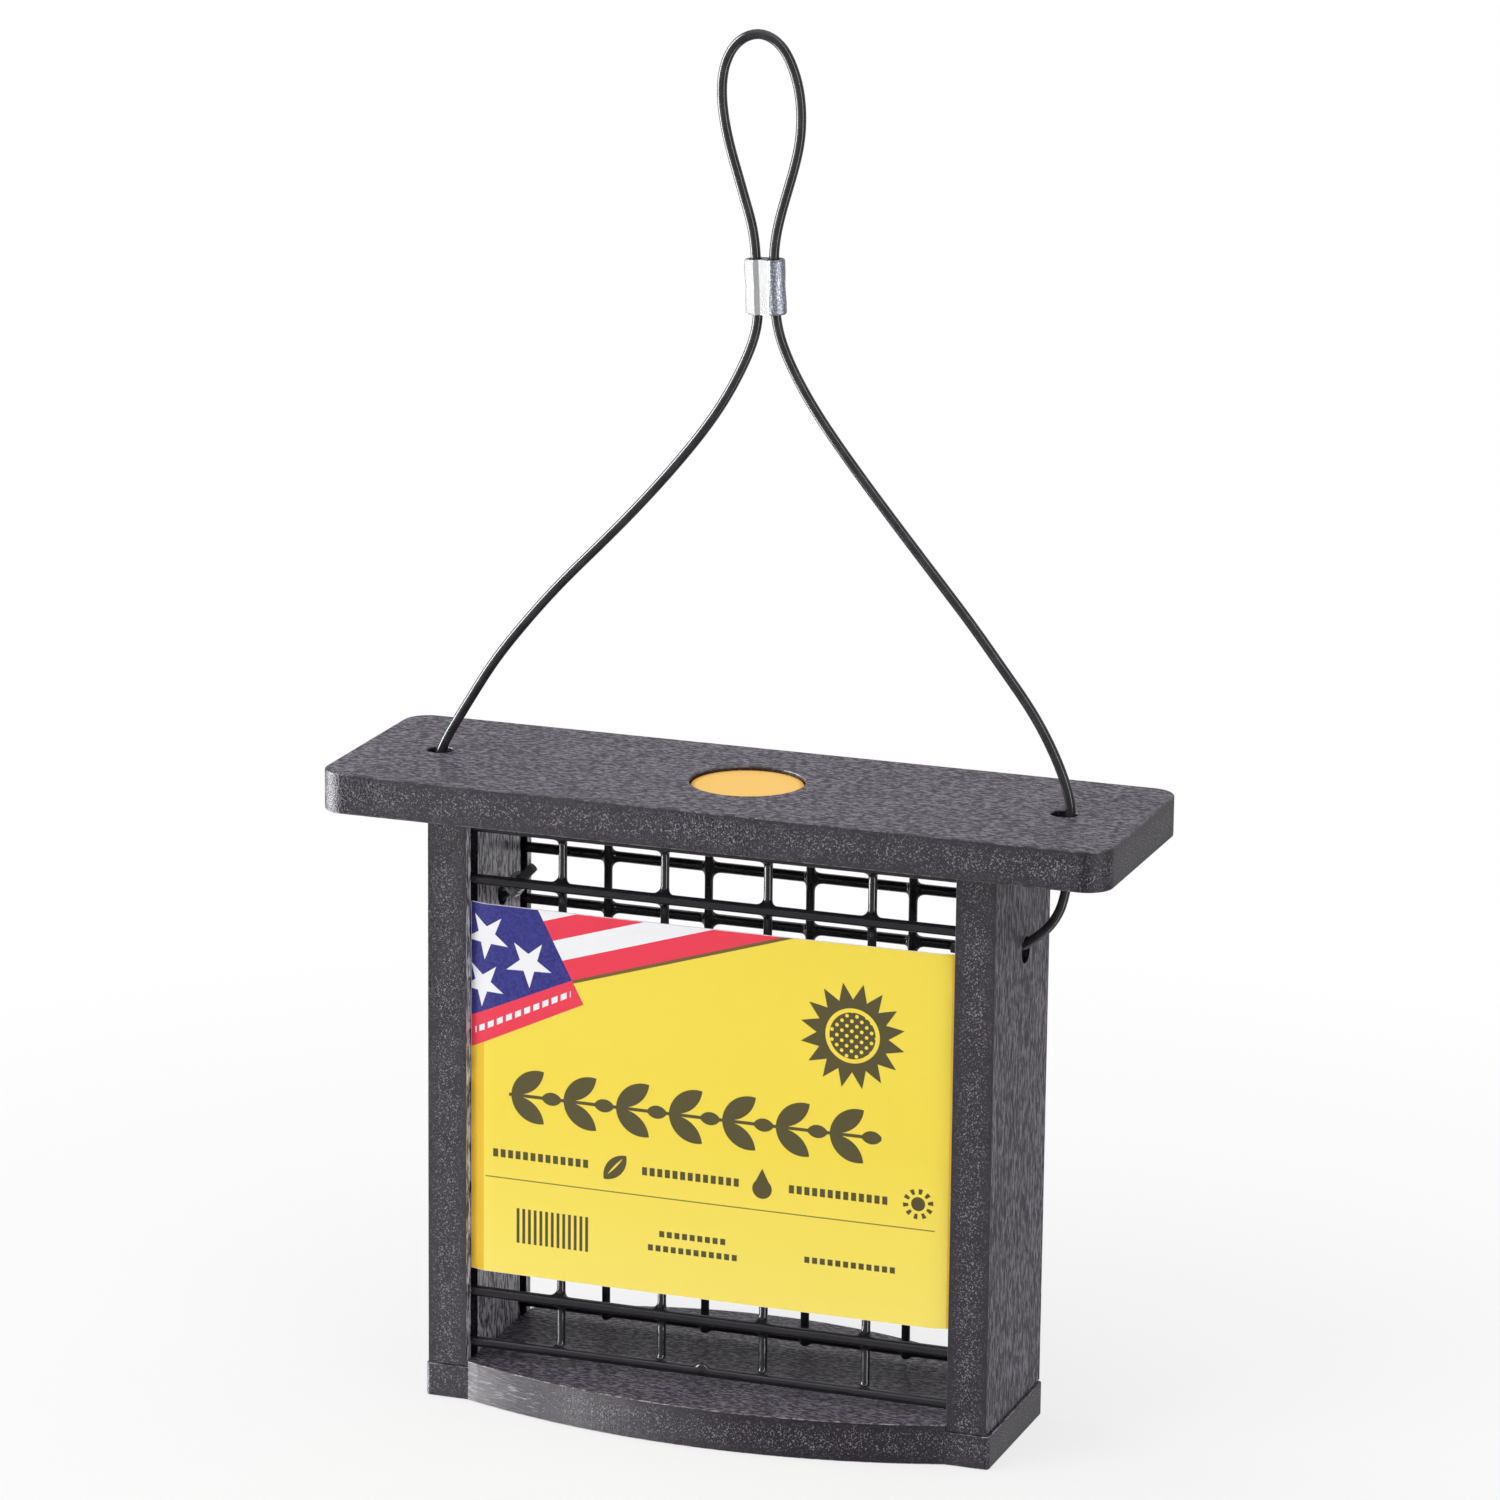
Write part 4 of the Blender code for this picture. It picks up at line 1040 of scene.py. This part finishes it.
add_cylinder(roof_cuts, RECESS_RADIUS, RECESS_DEPTH * 2, (0, HOUSING_Y, roof_high.z), sides=ROUND_SIDES)
roof_face = drawn_finish("roof_face", X_AXIS, LEVEL_GRAIN, 0.42)
roof_edge = stippled_finish("roof_edge", Z_AXIS, roof_middle.z)
roof_mesh = cut_plank(roof_board, roof_cuts, "roof_plank", Z_AXIS)
roof_piece = add_piece("roof_plank", roof_mesh, (roof_face, roof_edge, plank_arris), ["roof_board"])
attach(roof_piece, "roof")


# Medallion: a thin satin plastic disc, amber and bare, glued in the recess.
MEDALLION_EASE = 0.00015
AMBER_DEEP = (0.80, 0.46, 0.085, 1)
AMBER_PALE = (0.88, 0.55, 0.14, 1)
# Darker amber for the disc's edge: painted shade from the recess wall
AMBER_RIM_SHADE = (0.62, 0.25, 0.015, 1)
amber = Finish("amber_disc", {})
amber_place = amber.place()
amber_x, amber_y, _ = amber.axes(amber_place)
from_middle = distance_from(amber_x, amber_y - HOUSING_Y)
grit = amber.cloud(amber_place, (1600, 1600, 1600), detail=2)
# A darker ring round the disc's edge: painted shade from the recess wall
rim_shade = from_middle.rise(RECESS_RADIUS * 0.88, RECESS_RADIUS * 0.97)
amber.feed(amber.shader, {
    "Base Color": amber.mix(rim_shade, amber.mix(grit, AMBER_DEEP, AMBER_PALE), AMBER_RIM_SHADE),
    "Roughness": 0.40 + grit * 0.2,
    "Normal": amber.relief(grit, 0.00006),
})
disc_low, disc_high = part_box("roof_medallion")
medallion = bmesh.new()
disc_radius = (disc_high.x - disc_low.x) / 2
disc_thickness = disc_high.z - disc_low.z
add_cylinder(medallion, disc_radius, disc_thickness, (disc_low + disc_high) / 2, sides=ROUND_SIDES)
rims = [edge for edge in medallion.edges if edge.calc_face_angle(0) > math.radians(40)]
round_edges(medallion, rims, MEDALLION_EASE, 2)
medallion_mesh = shaped(medallion, "medallion", [])
medallion_piece = add_piece("medallion", medallion_mesh, (amber,), ["roof_medallion"])
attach(medallion_piece, "roof")


# Loop ferrule: a double aluminium sleeve, pressed at its waist so that it grips both sides of the cable
# where the hanging loop closes.
FERRULE_DEPTH = 0.005
LEFT_FLAT_START = 0.0046
SEAM_START = 0.0021
SEAM_END = 0.001
RIGHT_FLAT_END = 0.0014
FLAT_SHARE = 0.72
BARREL_SWEEP = 212
FERRULE_LEVELS = (0, 0.03, 0.25, 0.4, 0.5, 0.6, 0.75, 0.97, 1)
FERRULE_SIZES = (0.95, 1, 1, 0.98, 0.965, 0.98, 1, 1, 0.95)
loop_aluminium = aluminium_finish("loop_aluminium", FERRULE_MIDDLE.x + RIGHT_FLAT_END, 0.14)


def pressed_outline(steps):
    """The loop ferrule from above: two round barrels, of which the left front has been pressed into two
    flats with a seam between them."""
    half, radius = BARREL_SPACING / 2, FERRULE_DEPTH / 2
    swings = [math.radians(-BARREL_SWEEP / 2 + BARREL_SWEEP * step / steps) for step in range(steps + 1)]
    right_barrel = [(half + radius * math.cos(swing), radius * math.sin(swing)) for swing in swings]
    left_back = [(-x, y) for x, y in right_barrel[: steps // 2 : -1]]
    flats = [
        (-LEFT_FLAT_START, -radius * 0.54), (-LEFT_FLAT_START * 0.93, -radius * FLAT_SHARE),
        (-SEAM_START, -radius), (-SEAM_END, -radius * FLAT_SHARE), (RIGHT_FLAT_END, -radius),
    ]
    return right_barrel + left_back + flats


sleeve = bmesh.new()
add_sleeve(sleeve, pressed_outline(32), FERRULE_HEIGHT, FERRULE_LEVELS, FERRULE_SIZES)
bores = bmesh.new()
for side in (-1, 1):
    add_cylinder(bores, BORE_RADIUS, FERRULE_HEIGHT * 2, (side * BARREL_SPACING / 2, 0, 0), sides=32)
ferrule_place = Matrix.Translation(FERRULE_MIDDLE) @ Matrix.Rotation(FERRULE_LEAN, 4, "Y")
add_sleeve_piece(
    "crimp_ferrule", sleeve, bores, ferrule_place, (loop_aluminium, sawn_aluminium), "hanger", "loop_ferrule"
)


# Floor and light: a pale table in an even white room, with large soft lamps in front, at the sides, behind
# and above. The lamps are plain, and the floor keeps the feeder's shadow.
FLOOR_HALF = 30
FLOOR_GREY = (0.62, 0.62, 0.62, 1)
FLOOR_GLOW = 0.76
FLOOR_DROP = 0.0003
floor_bm = bmesh.new()
bmesh.ops.create_grid(
    floor_bm, x_segments=1, y_segments=1, size=FLOOR_HALF, matrix=Matrix.Translation((0, 0, -FLOOR_DROP))
)
floor = guide_of(floor_bm, "floor")


def light_rays(finish):
    """Whether a ray comes from the camera, from gloss or through something clear."""
    kinds = ("Camera", "Glossy", "Transmission")
    return [finish.node("LightPath", {}, {}, "Is " + kind + " Ray") for kind in kinds]


paint = Finish("floor_paint", {"Base Color": FLOOR_GREY, "Roughness": 0.9})
floor_x, floor_y, _ = paint.axes(paint.place())
far = distance_from(floor_x, floor_y).rise(0.08, 0.4)
camera_ray, gloss_ray, clear_ray = light_rays(paint)
glow = paint.node("Emission", {}, {"Color": (1, 1, 1, 1), "Strength": 1.0})
pale_share = (camera_ray | clear_ray) * (far * (1 - FLOOR_GLOW) + FLOOR_GLOW)
surface = paint.node("MixShader", {}, {0: pale_share, 1: Signal(paint, paint.shader.outputs[0]), 2: glow})
clear = paint.node("BsdfTransparent", {}, {})
# Seen from under it the floor is clear, so that the feeder's underside can be looked at
underside = paint.node("NewGeometry", {}, {}, "Backfacing")
surface = paint.node("MixShader", {}, {0: gloss_ray | underside, 1: surface, 2: clear})
paint.tree.links.new(surface.socket, paint.tree.nodes["Material Output"].inputs["Surface"])
floor.data.materials.append(paint.material)

# The room is white. What gloss shows of it has a grey front with a window and a pale frame at its left, a
# bright screen on each side, the left one much the larger, and a paler back and ceiling.
ROOM_LEVEL = 0.40
FRONT_LEVEL = 0.30
BEHIND_LEVEL = 0.27
LEFT_SCREEN_LEVEL = 25.0
FRAME_LEVEL = 0.78
WINDOW_LEVEL = 9.0
RIGHT_SCREEN_LEVEL = 8.0
OVERHEAD_LEVEL = 0.8
world = bpy.data.worlds.new("white_room")
bpy.context.scene.world = world
world.use_nodes = True


class Room(Finish):
    """The world's own nodes, written as a finish's are."""

    def __init__(self, world):
        self.tree = world.node_tree


room = Room(world)
camera_ray, gloss_ray, clear_ray = light_rays(room)
toward_x, toward_y, toward_z = room.axes(room.node("TexCoord", {}, {}, "Generated"))
azimuth = toward_x.math("ARCTAN2", toward_x, 0 - toward_y) * (360 / math.tau)
behind = abs(azimuth).rise(120, 140)
left_screen = azimuth.rise(-98, -92) * (1 - azimuth.rise(-72, -66)) * toward_z.rise(-0.8, -0.55)
left_screen = left_screen * (1 - toward_z.rise(0.5, 0.7))
pale_frame = azimuth.rise(-66, -62) * (1 - azimuth.rise(-52, -48))
window = azimuth.rise(-45, -43) * (1 - azimuth.rise(-41, -39))
window = window * toward_z.rise(-0.5, -0.4) * (1 - toward_z.rise(-0.1, 0.0))
right_screen = azimuth.rise(58, 61) * (1 - azimuth.rise(70, 74))
overhead = toward_z.rise(0.6, 0.85)
gloss_level = FRONT_LEVEL + behind * BEHIND_LEVEL + left_screen * LEFT_SCREEN_LEVEL
gloss_level = gloss_level + pale_frame * FRAME_LEVEL + window * WINDOW_LEVEL
gloss_level = gloss_level + right_screen * RIGHT_SCREEN_LEVEL + overhead * OVERHEAD_LEVEL
room_level = camera_ray | (gloss_ray * gloss_level) | clear_ray | ROOM_LEVEL
room.feed(world.node_tree.nodes["Background"], {"Color": (1, 1, 1, 1), "Strength": room_level})


def add_lamp(name, azimuth, elevation, distance, size, power):
    """A square soft lamp that faces the feeder's middle; azimuth 0 is in front and 90 to the right."""
    lamp_data = bpy.data.lights.new(name, "AREA")
    lamp_data.size = size
    lamp_data.energy = power
    lamp = bpy.data.objects.new(name, lamp_data)
    turn, lift = math.radians(azimuth), math.radians(elevation)
    away = Vector((math.sin(turn) * math.cos(lift), -math.cos(turn) * math.cos(lift), math.sin(lift)))
    lamp.location = TARGET + away * distance
    lamp.rotation_mode = "QUATERNION"
    lamp.rotation_quaternion = away.to_track_quat("Z", "Y")
    lamp.visible_camera = False
    lamp.visible_glossy = False
    bpy.context.scene.collection.objects.link(lamp)


add_lamp("key_lamp", -38, 38, 1.8, 1.0, 18.0)
add_lamp("fill_lamp", 48, 28, 2.0, 1.2, 7.4)
add_lamp("back_lamp", 128, 5, 1.8, 1.2, 3)
add_lamp("top_lamp", 10, 82, 1.6, 1.4, 8)
add_lamp("left_lamp", -105, 20, 1.6, 0.9, 8)
